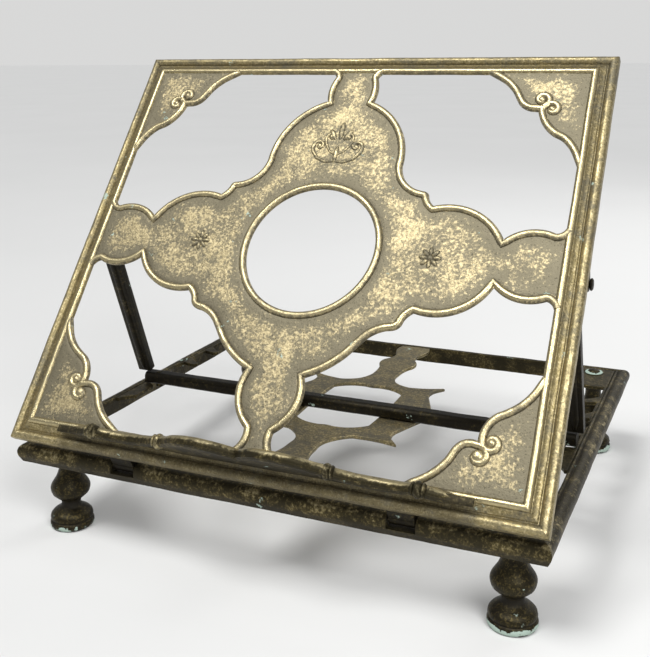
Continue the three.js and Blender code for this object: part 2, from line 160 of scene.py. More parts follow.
# ---- materials ----
class Shader:
    """A short way to write node trees."""

    def __init__(self, name):
        self.material = bpy.data.materials.new(name)
        self.material.use_nodes = True
        self.tree = self.material.node_tree
        self.tree.nodes.clear()

    def add(self, kind, **settings):
        node = self.tree.nodes.new(kind)
        for key, value in settings.items():
            setattr(node, key, value)
        return node

    def put(self, socket, value):
        if isinstance(value, bpy.types.NodeSocket):
            self.tree.links.new(value, socket)
        elif hasattr(value, "__len__"):
            socket.default_value = (*value, 1.0) if len(value) == 3 and len(socket.default_value) == 4 else value
        else:
            socket.default_value = value

    def math(self, operation, a, b=0.0, c=0.0):
        node = self.add("ShaderNodeMath", operation=operation)
        for socket, value in zip(node.inputs, (a, b, c)):
            self.put(socket, value)
        return node.outputs[0]

    def total(self, start, *parts):
        """start plus each part times its own weight."""
        for value, weight in parts:
            start = self.math("MULTIPLY_ADD", value, weight, start)
        return start

    def smooth(self, value, low, high):
        node = self.add("ShaderNodeMapRange", interpolation_type="SMOOTHSTEP")
        for socket, setting in zip(node.inputs, (value, low, high, 0.0, 1.0)):
            self.put(socket, setting)
        return node.outputs[0]

    def noise(self, scale, detail, rough, distortion=0.0):
        node = self.add("ShaderNodeTexNoise")
        self.put(node.inputs["Vector"], self.place)
        for key, value in (("Scale", scale), ("Detail", detail), ("Roughness", rough), ("Distortion", distortion)):
            node.inputs[key].default_value = value
        return node.outputs["Fac"]

    def paint(self, name):
        return self.add("ShaderNodeAttribute", attribute_type="GEOMETRY", attribute_name=name).outputs["Fac"]

    def mix(self, factor, a, b):
        node = self.add("ShaderNodeMix", data_type="RGBA")
        self.put(node.inputs["Factor"], factor)
        self.put(node.inputs["A"], a)
        self.put(node.inputs["B"], b)
        return next(s for s in node.outputs if s.type == "RGBA")


def aged_brass(name, film, rubbed, bright, rubbed_share, bare_at, grime_and_shade_at, spotted=2.0):
    """Old cast brass: a film, rubbed patches with bright specks, bare edges, hollows darkened by dirt and painted
    shade, and spots of verdigris.
    """
    tints = bpy.context.scene.stand_colours
    s = Shader(name)
    s.place = s.add("ShaderNodeTexCoord").outputs["Object"]
    blotch = s.noise(34, 6, 0.62, 0.5)  # about 3 cm across
    cloud = s.noise(120, 5, 0.6, 0.3)  # 8 mm
    speck = s.noise(560, 4, 0.66)  # 2 mm
    fleck = s.noise(1000, 3, 0.6)  # 1 mm
    pores = s.noise(1700, 2, 0.5)  # half a millimetre
    wear, grime_and_shade, green, rim = (s.paint(key) for key in ("wear", "grime_and_shade", "green", "rim"))

    even = rubbed_share + 0.5 * (2.0 - spotted)  # a noise averages a half, so fewer specks rub as much away
    share = s.total(even, (blotch, 1.0), (cloud, 1.0), (speck, spotted), (rim, -0.45))
    rubbing = s.smooth(share, 1.95, 2.5)
    tone = s.mix(rubbing, film, rubbed)
    sparks = s.math("MULTIPLY", s.smooth(s.total(0.0, (speck, 0.5), (fleck, 0.5)), 0.5, 0.6), rubbing)
    tone = s.mix(s.math("MULTIPLY", sparks, 0.75), tone, bright)
    pitted = s.smooth(s.total(0.0, (fleck, 0.6), (pores, 0.4)), 0.46, 0.36)
    tone = s.mix(s.math("MULTIPLY", pitted, 0.6), tone, tints.shade)
    bare = s.smooth(s.total(wear, (cloud, 0.8), (speck, 0.5), (blotch, 0.5)), bare_at, bare_at + 0.42)
    tone = s.mix(bare, tone, tints.gold)
    # Dirt together with painted shade: where the painted mask is high, the colour goes to the dark film and the metal
    # turns duller and less metallic
    dirt_and_shade = s.smooth(s.total(grime_and_shade, (cloud, 0.55), (speck, 0.25)), grime_and_shade_at, grime_and_shade_at + 0.5)
    tone = s.mix(s.math("MULTIPLY", dirt_and_shade, 0.88), tone, tints.shade)
    bloom = s.smooth(s.total(green, (s.noise(95, 4, 0.6), 1.0), (fleck, 0.16)), 0.765, 0.81)
    tone = s.mix(s.math("MULTIPLY", bloom, 0.85), tone, tints.verdigris)

    shader = s.add("ShaderNodeBsdfPrincipled")
    s.put(shader.inputs["Base Color"], tone)
    s.put(
        shader.inputs["Roughness"],
        s.total(0.5, (rubbing, -0.06), (bare, -0.14), (dirt_and_shade, 0.22), (bloom, 0.3), (fleck, 0.16), (blotch, -0.16)),
    )
    shader.inputs["Specular IOR Level"].default_value = 0.35
    s.put(shader.inputs["Metallic"], s.total(0.74, (bare, 0.22), (rubbing, 0.04), (dirt_and_shade, -0.4), (bloom, -0.7)))
    relief = s.total(0.0, (pores, 0.25), (fleck, 0.4), (speck, 0.5), (bare, 0.12), (bloom, 0.3))
    bump = s.add("ShaderNodeBump")
    bump.inputs["Strength"].default_value = 0.5
    bump.inputs["Distance"].default_value = 0.0005
    s.put(bump.inputs["Height"], relief)
    s.put(shader.inputs["Normal"], bump.outputs["Normal"])
    s.put(s.add("ShaderNodeOutputMaterial").inputs["Surface"], shader.outputs["BSDF"])
    return s.material


def finish(name):
    """One of the stand's metal finishes, made once."""
    if name in bpy.data.materials:
        return bpy.data.materials[name]
    tints = bpy.context.scene.stand_colours
    recipes = {  # film, rubbed metal, bright specks, rubbed share, wear that bares, dirt and painted shade that show, spottedness
        "aged_panel": (tints.patina, tints.tan, tints.pale, 0.2, 1.75, 1.1),
        "aged_frame": (tints.drab, tints.old_gold, tints.pale, 0.3, 1.55, 1.1, 0.9),
        # the base's film is the painted dark reflection colour
        "aged_base": (tints.olive_and_dark_reflection, tints.brown, tints.old_gold, 0.1, 1.8, 1.0, 0.7),
        "aged_tracery": (tints.drab, tints.old_gold, tints.pale, 0.2, 1.7, 1.1, 1.2),
        "aged_strut": (tints.shade, tints.olive_and_dark_reflection, tints.brown, 0.05, 1.9, 0.95, 0.7),
        "aged_ledge": (tints.olive_and_dark_reflection, tints.brown, tints.old_gold, 0.05, 1.75, 0.95, 0.7),
        # the feet's very dark film is painted shade
        "aged_foot": (tints.shade, tints.olive_and_dark_reflection, tints.brown, 0.3, 2.0, 0.95, 0.7),
    }
    return aged_brass(name, *recipes[name])


# ---- outlines ----
def turn_at(before, here, after):
    into, out = here - before, after - here
    return math.atan2(into.x * out.y - into.y * out.x, into.dot(out))


def mirror_over(point, a, b):
    """A point mirrored in the perpendicular bisector of a and b."""
    along = (b - a).normalized()
    return point - 2 * (point - (a + b) / 2).dot(along) * along


def refined(points, closed, step):
    """Points on a smooth line through the given ones, at most a step apart. Corners stay."""
    n = len(points)
    corner = [
        (not closed and i in (0, n - 1)) or abs(turn_at(points[i - 1], points[i], points[(i + 1) % n])) > SHARP
        for i in range(n)
    ]
    made = []
    for i in range(n if closed else n - 1):
        a, b, j = points[i], points[(i + 1) % n], (i + 1) % n
        span = (b - a).length
        before = None if corner[i] else points[i - 1]
        after = None if corner[j] else points[(j + 1) % n]
        if before is None and after is not None:
            before = mirror_over(after, a, b)
        if after is None and before is not None:
            after = mirror_over(before, a, b)
        steps = max(1, math.ceil(span / step))
        made.append(a.copy())
        if before is None:
            made += [a.lerp(b, k / steps) for k in range(1, steps)]
            continue
        leave, arrive = slope(before, a, b) * span, slope(a, b, after) * span
        for k in range(1, steps):
            t = k / steps
            made.append(
                a * (2 * t**3 - 3 * t**2 + 1)
                + leave * (t**3 - 2 * t**2 + t)
                + b * (3 * t**2 - 2 * t**3)
                + arrive * (t**3 - t**2)
            )
    if not closed:
        made.append(points[-1].copy())
    return made


def slope(before, here, after):
    first, second = here - before, after - here
    one, two = max(first.length, 1e-6), max(second.length, 1e-6)
    return (first / one * two + second / two * one) / (one + two)


def spaced(points, closed, reach):
    """The outline without the points that an edge moved inward by reach would fold over at a corner."""
    n = len(points)
    turns = [turn_at(points[i - 1], points[i], points[(i + 1) % n]) for i in range(n)]
    if not closed:
        turns[0] = turns[-1] = 0
    lost = set()
    for i, turn in enumerate(turns):
        if turn < SHARP:
            continue
        clear = 1.1 * reach * math.tan(min(turn, 2.7) / 2)
        for way in (-1, 1):
            k, gone = i, 0.0
            while True:
                step = (k + way) % n
                gone += (points[step] - points[k]).length
                if gone > clear or abs(turns[step]) > SHARP or step == i:
                    break
                lost.add(step)
                k = step
    kept = []
    for i, p in enumerate(points):
        if i not in lost and (not kept or (p - kept[-1]).length > 0.25):
            kept.append(p)
    while closed and len(kept) > 3 and (kept[0] - kept[-1]).length < 0.25:
        kept.pop()
    return kept


def moved_in(points, closed, reach):
    """An outline moved to its left by reach, mitred at its corners."""
    n, made = len(points), []
    for i, here in enumerate(points):
        before = points[i - 1] if closed or i else None
        after = points[(i + 1) % n] if closed or i < n - 1 else None
        into = (here - before).normalized() if before is not None else (after - here).normalized()
        out = (after - here).normalized() if after is not None else into
        left = Vector((-(into + out).y, (into + out).x)).normalized()
        widen = max(0.5, left.dot(Vector((-into.y, into.x))))
        made.append(here + left * (reach / widen))
    return made


def rims(node, place, height, flat="z"):
    """The outlines round the top of a flat CAD casting, with its material on their left."""
    bm = bmesh.new()
    bm.from_mesh(NODES[node].data)
    bmesh.ops.transform(bm, matrix=place.inverted(), verts=bm.verts)
    bmesh.ops.remove_doubles(bm, verts=bm.verts, dist=0.01)
    bm.normal_update()
    axis = "xyz".index(flat)
    top = {f for f in bm.faces if f.normal[axis] > 0.99 and abs(f.calc_center_median()[axis] - height) < 0.1}
    onward, spots = {}, {}
    for face in top:
        for loop in face.loops:
            if not any(f in top for f in loop.edge.link_faces if f is not face):
                start, end = loop.vert, loop.link_loop_next.vert
                onward[start.index] = end.index
                spots[start.index] = start.co.copy()
    if not onward:
        raise RuntimeError(f"{node} has no flat top at {height}")
    loops = []
    while onward:
        first = here = next(iter(onward))
        ring = []
        while True:
            p = spots[here]
            ring.append(Vector((p.x, p.y)) if flat == "z" else Vector((p.z, p.x)))
            here = onward.pop(here)
            if here == first:
                break
        loops.append(ring)
    bm.free()
    return sorted(loops, key=len, reverse=True) if len(loops) > 1 and spread(loops[0]) < spread(loops[-1]) else loops


def spread(points):
    return max(p.x for p in points) - min(p.x for p in points)


# ---- mesh tools ----
# Painted on each vertex: wear; grime, which is dirt together with painted shade in hollows, creases, joins and
# undersides; verdigris; and nearness to a rim
PAINTS = ("wear", "grime_and_shade", "green", "rim")


def fresh():
    bm = bmesh.new()
    for key in PAINTS:
        bm.verts.layers.float.new(key)
    return bm


def layer(bm, key):
    return bm.verts.layers.float[key]


def paint(bm, rule, verts=None):
    """Sets each vertex's wear, soiling with painted shade, green and rim from rule(position, normal), which returns
    those it changes.
    """
    layers = {key: layer(bm, key) for key in PAINTS}
    bm.normal_update()
    for v in verts or bm.verts:
        for key, value in rule(v.co, v.normal).items():
            v[layers[key]] = value


def ramp(value, low, high):
    t = min(1.0, max(0.0, (value - low) / (high - low)))
    return t * t * (3 - 2 * t)


def sunk(bm, loops, low, high, top_steps, bottom_steps=()):
    """A flat casting between two heights, with its top and bottom edges stepped in by (inset, rise, wear) rings."""
    edges = []
    for points in loops:
        ring = [bm.verts.new((p.x, p.y, low)) for p in points]
        edges += [bm.edges.new((ring[i - 1], ring[i])) for i in range(len(ring))]
    filled = bmesh.ops.triangle_fill(bm, use_beauty=True, use_dissolve=False, edges=edges, normal=(0, 0, 1))
    bottom = [g for g in filled["geom"] if isinstance(g, bmesh.types.BMFace)]
    bmesh.ops.recalc_face_normals(bm, faces=bottom)
    bm.normal_update()
    if sum(f.normal.z for f in bottom) < 0:
        bmesh.ops.reverse_faces(bm, faces=bottom)
    raised = bmesh.ops.extrude_face_region(bm, geom=bottom, use_keep_orig=True)
    verts = [g for g in raised["geom"] if isinstance(g, bmesh.types.BMVert)]
    top = [g for g in raised["geom"] if isinstance(g, bmesh.types.BMFace)]
    bmesh.ops.translate(bm, vec=(0, 0, high - low), verts=verts)
    bmesh.ops.recalc_face_normals(bm, faces=bm.faces)
    bm.normal_update()
    for faces, steps in ((top, top_steps), (bottom, bottom_steps)):
        for inset, rise, wear in steps:
            bmesh.ops.inset_region(
                bm, faces=faces, thickness=inset, depth=rise, use_boundary=True, use_even_offset=True
            )
            for v in {v for f in faces for v in f.verts}:
                v[layer(bm, "wear")] = wear


def rounding(radius, steps, wear, inner_wear=0.0):
    """The (inset, rise, wear) rings of a quarter round, after whose last ring the flat begins."""
    made, angles = [], [math.pi / 2 * k / steps for k in range(steps + 1)]
    for a, b in zip(angles, angles[1:]):
        made.append((radius * (math.cos(a) - math.cos(b)), radius * (math.sin(b) - math.sin(a)), wear))
    made.append((radius * 0.7, 0.0, inner_wear))
    return made


def added(bm, before):
    return [v for v in bm.verts if v not in before]


def ball(bm, around, along, radius=1.0):
    before = set(bm.verts)
    bmesh.ops.create_uvsphere(bm, u_segments=around, v_segments=along, radius=radius)
    return added(bm, before)


def tube(bm, points, radius, closed=False, swell=None):
    """Adds a round bar along 3-D points, made as a bevelled curve and turned into a mesh."""
    curve = bpy.data.curves.new("bar", "CURVE")
    curve.dimensions = "3D"
    curve.bevel_depth = radius
    curve.bevel_resolution = 5
    curve.use_fill_caps = not closed
    curve.twist_mode = "Z_UP"
    line = curve.splines.new("POLY")
    line.points.add(len(points) - 1)
    for i, p in enumerate(points):
        line.points[i].co = (p.x, p.y, p.z, 1)
        line.points[i].radius = swell(i / max(1, len(points) - 1)) if swell else 1.0
    line.use_cyclic_u = closed
    holder = bpy.data.objects.new("bar", curve)
    bpy.context.scene.collection.objects.link(holder)
    bpy.context.view_layer.update()
    mesh = bpy.data.meshes.new_from_object(holder.evaluated_get(bpy.context.evaluated_depsgraph_get()))
    before = set(bm.verts)
    bm.from_mesh(mesh)
    bmesh.ops.remove_doubles(bm, verts=added(bm, before), dist=0.0005)
    bpy.data.objects.remove(holder)
    bpy.data.curves.remove(curve)
    bpy.data.meshes.remove(mesh)
    made = added(bm, before)
    bmesh.ops.recalc_face_normals(bm, faces=list({f for v in made for f in v.link_faces}))
    return made


def turned(bm, profile, centre, step=1.2, steps=None, axis=(0, 0, 1)):
    """A lathe shape round an upright axis: profile corners are (radius, height, wear, soiling with painted shade,
    green).
    """
    path = refined([Vector(p[:2]) for p in profile], False, step)
    places = [Vector(p[:2]) for p in profile]
    verts = []
    for p in path:
        v = bm.verts.new((max(0.0, p.x), 0, p.y))
        near = sorted(range(len(places)), key=lambda k: (places[k] - p).length)[:2]
        reach = [(places[k] - p).length + 1e-6 for k in near]
        for slot, key in ((2, "wear"), (3, "grime_and_shade"), (4, "green")):
            given = [profile[k][slot] if len(profile[k]) > slot else 0.0 for k in near]
            v[layer(bm, key)] = (given[0] * reach[1] + given[1] * reach[0]) / (reach[0] + reach[1])
        verts.append(v)
    edges = [bm.edges.new(pair) for pair in zip(verts, verts[1:])]
    before = set(bm.verts) - set(verts)
    turns = steps or bpy.context.scene.stand_sizes.turnings
    bmesh.ops.spin(
        bm, geom=verts + edges, cent=(0, 0, 0), axis=(0, 0, 1), angle=2 * math.pi, steps=turns, use_merge=True
    )
    bmesh.ops.remove_doubles(bm, verts=added(bm, before), dist=0.001)
    made = added(bm, before)
    bmesh.ops.recalc_face_normals(bm, faces=list({f for v in made for f in v.link_faces}))
    along = Vector((0, 0, 1)).rotation_difference(Vector(axis)).to_matrix().to_4x4()
    bmesh.ops.transform(bm, matrix=Matrix.Translation(centre) @ along, verts=made)
    return made


def profile_of(corners, step=0.5):
    """A closed section from (x, y, swell, wear, soiling with painted shade) corners; a swell bows the way to the next
    corner.
    """
    made = []
    for i, (x, y, bow, wear, grime_and_shade) in enumerate(corners):
        nx, ny, _, next_wear, next_grime_and_shade = corners[(i + 1) % len(corners)]
        a, b = Vector((x, y)), Vector((nx, ny))
        chord = b - a
        steps = max(1, math.ceil(chord.length * (1 + bow * bow) / step))
        left = Vector((-chord.y, chord.x)).normalized() if chord.length else Vector((0, 0))
        rise = bow * chord.length / 2
        for k in range(steps):
            t = k / steps
            if bow:
                radius = (chord.length**2 / 4 + rise**2) / (2 * rise)
                centre = (a + b) / 2 + left * (rise - radius)
                sweep = -4 * math.atan(bow) * t
                arm = a - centre
                cos, sin = math.cos(sweep), math.sin(sweep)
                p = centre + Vector((arm.x * cos - arm.y * sin, arm.x * sin + arm.y * cos))
                crown = math.sin(math.pi * t)
            else:
                p, crown = a.lerp(b, t), 0.0
            here = wear * (1 - t) + next_wear * t
            if bow > 0.3:
                here = max(here, crown * max(wear, next_wear, 0.0) * 1.15)
            made.append((p, here, grime_and_shade * (1 - t) + next_grime_and_shade * t))
    return made


def moulding(bm, section, length, mitre=None, pitch=2.0):
    """A closed rail along X from a section in Y and Z. With a mitre, its ends slant by each point's Y."""
    cuts, n = max(1, round(length / pitch)), len(section)
    wears, grime_and_shade_layer = layer(bm, "wear"), layer(bm, "grime_and_shade")
    rows = []
    for i in range(cuts + 1):
        row = [bm.verts.new((length * (i / cuts - 0.5), p.x, p.y)) for p, _, _ in section]
        for v, (_, wear, grime_and_shade) in zip(row, section):
            v[wears], v[grime_and_shade_layer] = wear, grime_and_shade
        rows.append(row)
    faces = [bm.faces.new(rows[0]), bm.faces.new(rows[-1])]
    for one, two in zip(rows, rows[1:]):
        for k in range(n):
            j = (k + 1) % n
            faces.append(bm.faces.new((one[k], one[j], two[j], two[k])))
    verts = [v for row in rows for v in row]
    if mitre:
        for v in verts:
            v.co.x *= (length / 2 - v.co.y - mitre) / (length / 2)
    bmesh.ops.recalc_face_normals(bm, faces=faces)
    return verts


def uneven(bm, amount=None, level=False):
    """Strays from true as a hand-finished casting does, and only sideways if level."""
    amount = bpy.context.scene.stand_sizes.unevenness / MM if amount is None else amount
    for v in bm.verts:
        slow = noise.noise_vector(v.co * 0.035)
        quick = noise.noise_vector(v.co * 0.21 + Vector((7, 3, 5)))
        shift = (slow * 1.6 + quick * 0.55) * amount
        if level:
            shift = Vector((shift.x, shift.y, 0))
        v.co += shift


def sides_of(names, width, depth):
    """Each side of a rectangle that starts at Y 0: its name, its length, and the matrix that lays a rail there."""
    for index, name in enumerate(names):
        length, edge = (width, depth / 2) if index % 2 == 0 else (depth, width / 2)
        turn = Matrix.Rotation(index * math.pi / 2, 4, "Z") @ Matrix.Translation((0, -edge, 0))
        yield name, length, Matrix.Translation((0, depth / 2, 0)) @ turn


def piece(bm, name, place, body, material, stands_for=(), smooth=50):
    """Puts a finished shape into the scene, on the body it moves with."""
    bmesh.ops.transform(bm, matrix=place, verts=bm.verts)
    mesh = bpy.data.meshes.new(name)
    for face in bm.faces:
        face.smooth = True
    bm.to_mesh(mesh)
    bm.free()
    ob = bpy.data.objects.new(name, mesh)
    bpy.context.scene.collection.objects.link(ob)
    mesh.materials.append(finish(material))
    mesh.set_sharp_from_angle(angle=math.radians(smooth))
    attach(ob, body)
    if stands_for:
        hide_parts(*stands_for)


# ---- the desk's pierced panel ----
INNER_X = DESK_WIDTH / 2 - DESK_RAIL  # where the frame's inner bead ends
INNER_LOW, INNER_HIGH = DESK_RAIL, DESK_HEIGHT - DESK_RAIL


def at_frame(p):
    return abs(p.x) > INNER_X - FRAME_REACH or p.y < INNER_LOW + FRAME_REACH or p.y > INNER_HIGH - FRAME_REACH


def under_frame(p, tuck=1.4):
    """A point on the panel's border, pushed out under the frame's bead."""
    x, y = p.x, p.y
    if abs(x) > INNER_X - FRAME_REACH:
        x = math.copysign(INNER_X + tuck, x)
    if y < INNER_LOW + FRAME_REACH:
        y = INNER_LOW - tuck
    if y > INNER_HIGH - FRAME_REACH:
        y = INNER_HIGH + tuck
    return Vector((x, y))


def window_runs(loop):
    """The stretches of an outline that face a window, each from frame to frame."""
    n = len(loop)
    if not any(at_frame(p) for p in loop):
        return []
    start = next(i for i in range(n) if at_frame(loop[i]) and not at_frame(loop[(i + 1) % n]))
    order = [loop[(start + k) % n] for k in range(n + 1)]
    runs, run = [], [order[0]]
    for p in order[1:]:
        run.append(p)
        if at_frame(p):
            if len(run) > 2:
                runs.append(run)
            run = [p]
    return runs


def inside(points, loops):
    """Which of the points lie on a casting's material, by crossings of its outlines."""
    odd = np.zeros(len(points), bool)
    for loop in loops:
        ring = np.array([tuple(p) for p in loop])
        for (ax, ay), (bx, by) in zip(ring, np.roll(ring, -1, 0)):
            crosses = (ay > points[:, 1]) != (by > points[:, 1])
            if crosses.any():
                x = ax + (points[:, 1] - ay) * (bx - ax) / ((by - ay) or 1e-9)
                odd ^= crosses & (points[:, 0] < x)
    return odd


def nearest(points):
    tree = kdtree.KDTree(len(points))
    for i, p in enumerate(points):
        tree.insert((p.x, p.y, 0), i)
    tree.balance()
    return tree


def field_net(bm, loops, height, near, border, bead):
    """The panel's cast face: a fine net trimmed under the beads, sunk beside them, and given a thin back."""
    xs = [p.x for loop in loops for p in loop]
    ys = [p.y for loop in loops for p in loop]
    low, high = Vector((min(xs), min(ys))), Vector((max(xs), max(ys)))
    size = high - low
    before = set(bm.verts)
    across, along = round(size.x / FIELD_PITCH), round(size.y / FIELD_PITCH)
    bmesh.ops.create_grid(bm, x_segments=across, y_segments=along, size=0.5)
    made = added(bm, before)
    middle = (low + high) / 2
    for v in made:
        v.co = Vector((middle.x + v.co.x * size.x, middle.y + v.co.y * size.y, height))
    kept = inside(np.array([(v.co.x, v.co.y) for v in made]), loops)
    beads, rails = nearest(near), nearest(border or near)
    reach = [beads.find((v.co.x, v.co.y, 0))[2] for v in made]
    clear = 1.0  # the field stops this far from a window, under the bead
    bmesh.ops.delete(bm, geom=[v for v, k, d in zip(made, kept, reach) if not k or d < clear], context="VERTS")
    pairs = [(v, d) for v, k, d in zip(made, kept, reach) if k and d >= clear]
    layers = {key: layer(bm, key) for key in PAINTS}
    for v, d in pairs:
        rail = rails.find((v.co.x, v.co.y, 0))[2] if border else 99.0
        # Painted shade with dirt: a dark line along each bead's foot and the frame's edge, with a faint wider spread
        # round the beads
        edge = max(math.exp(-max(0.0, d - 2 * bead) / 0.7), math.exp(-rail / 0.6))
        v[layers["grime_and_shade"]] = 1.05 * edge + 0.15 * math.exp(-max(0.0, d - 2 * bead) / 3.5)
        v[layers["rim"]] = 1 - ramp(min(d - 2 * bead, rail), 0.5, 10)
        ripple = noise.noise(v.co * 0.11) * 0.10 + noise.noise(v.co * 0.42) * 0.07
        v.co.z += ripple - 0.22 * edge
    top = list({f for v, _ in pairs for f in v.link_faces})
    bmesh.ops.recalc_face_normals(bm, faces=top)
    bm.normal_update()
    if sum(f.normal.z for f in top) < 0:
        bmesh.ops.reverse_faces(bm, faces=top)
    bmesh.ops.solidify(bm, geom=top, thickness=0.35)
    strays = [v for v in bm.verts if not v.link_faces]
    bmesh.ops.delete(bm, geom=strays, context="VERTS")


# Beads worn bright on top, and darkened at their foot by dirt with painted shade
def bead_paint(height, radius):
    return lambda co, normal: {
        "wear": 0.5 + 0.7 * ramp(co.z, height, height + radius),
        "grime_and_shade": 0.9 * (1 - ramp(co.z, height - 0.1, height + 0.35 * radius)),
    }


def scroll_halves(run, bead):
    """An ornament's edge as two paths from the frame to its cusp, moved in by half the bead: the side one first."""
    cusp = max(range(3, len(run) - 3), key=lambda i: abs(turn_at(run[i - 1], run[i], run[i + 1])))
    one = moved_in(run[: cusp + 1], False, bead)
    two = moved_in(run[cusp:], False, bead)[::-1]
    return sorted((one, two), key=lambda path: abs(path[0].x), reverse=True)


def panel_casting(node, volutes=()):
    """One flat casting of the panel: plate, cast field, and the beads along its windows."""
    sizes = bpy.context.scene.stand_sizes
    bead, rise = sizes.bead_width / MM / 2, sizes.bead_rise / MM
    height = DESK_FACE - sizes.field_drop / MM
    loops = rims(node, DESK, DESK_FACE)
    tucked = [[under_frame(p) if at_frame(p) else p for p in loop] for loop in loops]
    smooth_loops = [refined(loop, True, OUTLINE_STEP) for loop in tucked]
    bm = fresh()
    plates = [spaced(loop, True, 0.8) for loop in smooth_loops]
    sunk(bm, plates, PANEL_BACK + 0.5, height - 0.25, ((0.1, 0.05, 0.0),), rounding(0.45, 2, 0.25))
    paint(bm, lambda co, n: {"grime_and_shade": 0.55, "wear": 0.25})
    runs = [refined(run, False, OUTLINE_STEP) for run in window_runs(loops[0])]
    rounds = [refined(loop, True, OUTLINE_STEP) for loop in loops[1:]]
    if not runs and not rounds:
        raise RuntimeError(f"{node} has no edge on a window")
    near = [p for line in runs + rounds for p in line]
    border = [under_frame(p, 0.0) for loop in loops for p in refined(loop, True, OUTLINE_STEP) if at_frame(p)]
    field_net(bm, smooth_loops, height, near, border, bead)
    squash = rise / bead
    lines = [(moved_in(spaced(r, False, bead), False, bead), False) for r in runs]
    lines += [(moved_in(spaced(r, True, bead), True, bead), True) for r in rounds]
    if volutes:
        lines = [(way, False) for way in scrolled(scroll_halves(runs[0], bead), volutes)]
    for way, closed in lines:
        made = tube(bm, [Vector((p.x, p.y, 0)) for p in way], bead, closed, tapered if volutes else None)
        for v in made:
            v.co.z = height - 0.05 + v.co.z * squash
        paint(bm, bead_paint(height, rise), made)
    for x, y, _, _, last, _ in volutes:
        boss(bm, x, y, height, last + 1.3, 1.15 * rise)
    return bm


def tapered(t):
    """A bead grows out of the frame's own, and narrows as it winds into its volute."""
    return (0.3 + 0.7 * ramp(t, 0.0, 0.09)) * (1.0 - 0.3 * ramp(t, 0.75, 1.0))


def volute(start, centre, side, turns, last, power):
    """A spiral from a start point about a centre; side is +1 to go anticlockwise."""
    arm = start - centre
    first, angle = arm.length, math.atan2(arm.y, arm.x)
    count = round(40 * turns)
    made = []
    for k in range(1, count + 1):
        t = k / count
        r = first + (last - first) * t**power
        turn = angle + side * 2 * math.pi * turns * t
        made.append(centre + Vector((math.cos(turn), math.sin(turn))) * r)
    return made


def scrolled(runs, centres):
    """Follows each of an ornament's two beads from the frame to the cusp, and curls it up round its own volute."""
    return [path + volute(path[-1], Vector(curl[:2]), *curl[2:]) for path, curl in zip(runs, centres)]


# Each ornament's two volutes on the right: centre x, y, turn (+1 anticlockwise), turns, last radius, and how
# soon it tightens. The first ends the bead from the side of the frame, the second the one from its top or bottom.
UPPER_VOLUTES = ((127.0, 238.5, -1, 1.1, 1.0, 0.85), (120.2, 245.0, 1, 1.15, 1.1, 0.85))
LOWER_VOLUTES = ((126.3, 39.9, 1, 1.2, 1.1, 0.85), (120.4, 32.4, -1, 0.85, 2.1, 0.8))


class STAND_OT_panel(bpy.types.Operator):
    """Builds the four-lobed cross and the four corner ornaments, with their beads and volutes"""

    bl_idname = "stand.panel"
    bl_label = "Pierced Panel"

    def execute(self, context):
        bm = panel_casting("desk_cross")
        piece(bm, "panel_cross", DESK, "desk", "aged_panel", ("desk_cross",))
        for level, volutes in (("top", UPPER_VOLUTES), ("bottom", LOWER_VOLUTES)):
            for name, side in SIDES:
                node = f"desk_corner_{level}_{name}"
                bm = panel_casting(node, [(side * x, y, side * way, *rest) for x, y, way, *rest in volutes])
                piece(bm, f"panel_corner_{level}_{name}", DESK, "desk", "aged_panel", (node,))
        return {"FINISHED"}


def boss(bm, x, y, height, radius, rise):
    """The button at the heart of a volute."""
    made = ball(bm, 20, 12, radius)
    for v in made:
        v.co = Vector((x + v.co.x, y + v.co.y, height + v.co.z * rise / radius))
    paint(bm, bead_paint(height, rise), made)


# ---- raised ornaments where the panel is otherwise bare ----
class STAND_OT_ornaments(bpy.types.Operator):
    """Builds the raised palmette over the round hole and a rosette on each side of it"""

    bl_idname = "stand.ornaments"
    bl_label = "Raised Ornaments"

    def execute(self, context):
        height = DESK_FACE - context.scene.stand_sizes.field_drop / MM
        bm = fresh()
        for side in (-1, 1):
            for points, curl, fat in (
                (((0.5, -10), (6, -10.5), (12, -8), (16, -3)), (12.2, 0.8, 1, 1.1, 0.8, 0.6), 1.25),
                (((0.8, -5), (4, -3.5), (7, 0.5), (9, 5.5)), (5.8, 7.4, 1, 1.05, 0.7, 0.6), 1.05),
            ):
                way = refined([Vector(p) for p in points], False, 0.6)
                way += volute(way[-1], Vector(curl[:2]), *curl[2:])
                tube(bm, [Vector((side * p.x, p.y, 0)) for p in way], fat, swell=stemmed)
                petal(bm, side * curl[0], curl[1], 0, 1.7, 1.7)
        for angle, reach, length in ((0, 11, 6.5), (32, 9.5, 4.6), (-32, 9.5, 4.6)):
            lean = math.radians(angle)
            petal(bm, math.sin(lean) * reach, 1 + math.cos(lean) * reach, -angle, 1.9, length)
        petal(bm, 0, -5, 0, 1.6, 6)
        raised(bm, "palmette", Vector((0, 208, height)), 1.0)
        for name, side in SIDES:
            bm = fresh()
            for k in range(8):
                lean = math.radians(45 * k)
                petal(bm, 4.2 * math.sin(lean), 4.2 * math.cos(lean), -45 * k, 1.45, 2.9)
            petal(bm, 0, 0, 0, 1.9, 1.9)
            raised(bm, f"rosette_{name}", Vector((side * 74, 138, height)), 0.95)
        return {"FINISHED"}


def stemmed(t):
    """A stem is fullest in its middle."""
    return 0.5 + 0.55 * math.sin(math.pi * (0.1 + 0.75 * t))


def petal(bm, x, y, angle, half_width, half_length):
    made = ball(bm, 18, 10)
    place = Matrix.Translation((x, y, 0)) @ Matrix.Rotation(math.radians(angle), 4, "Z")
    bmesh.ops.transform(bm, matrix=place @ Matrix.Diagonal((half_width, half_length, 1.5, 1)), verts=made)


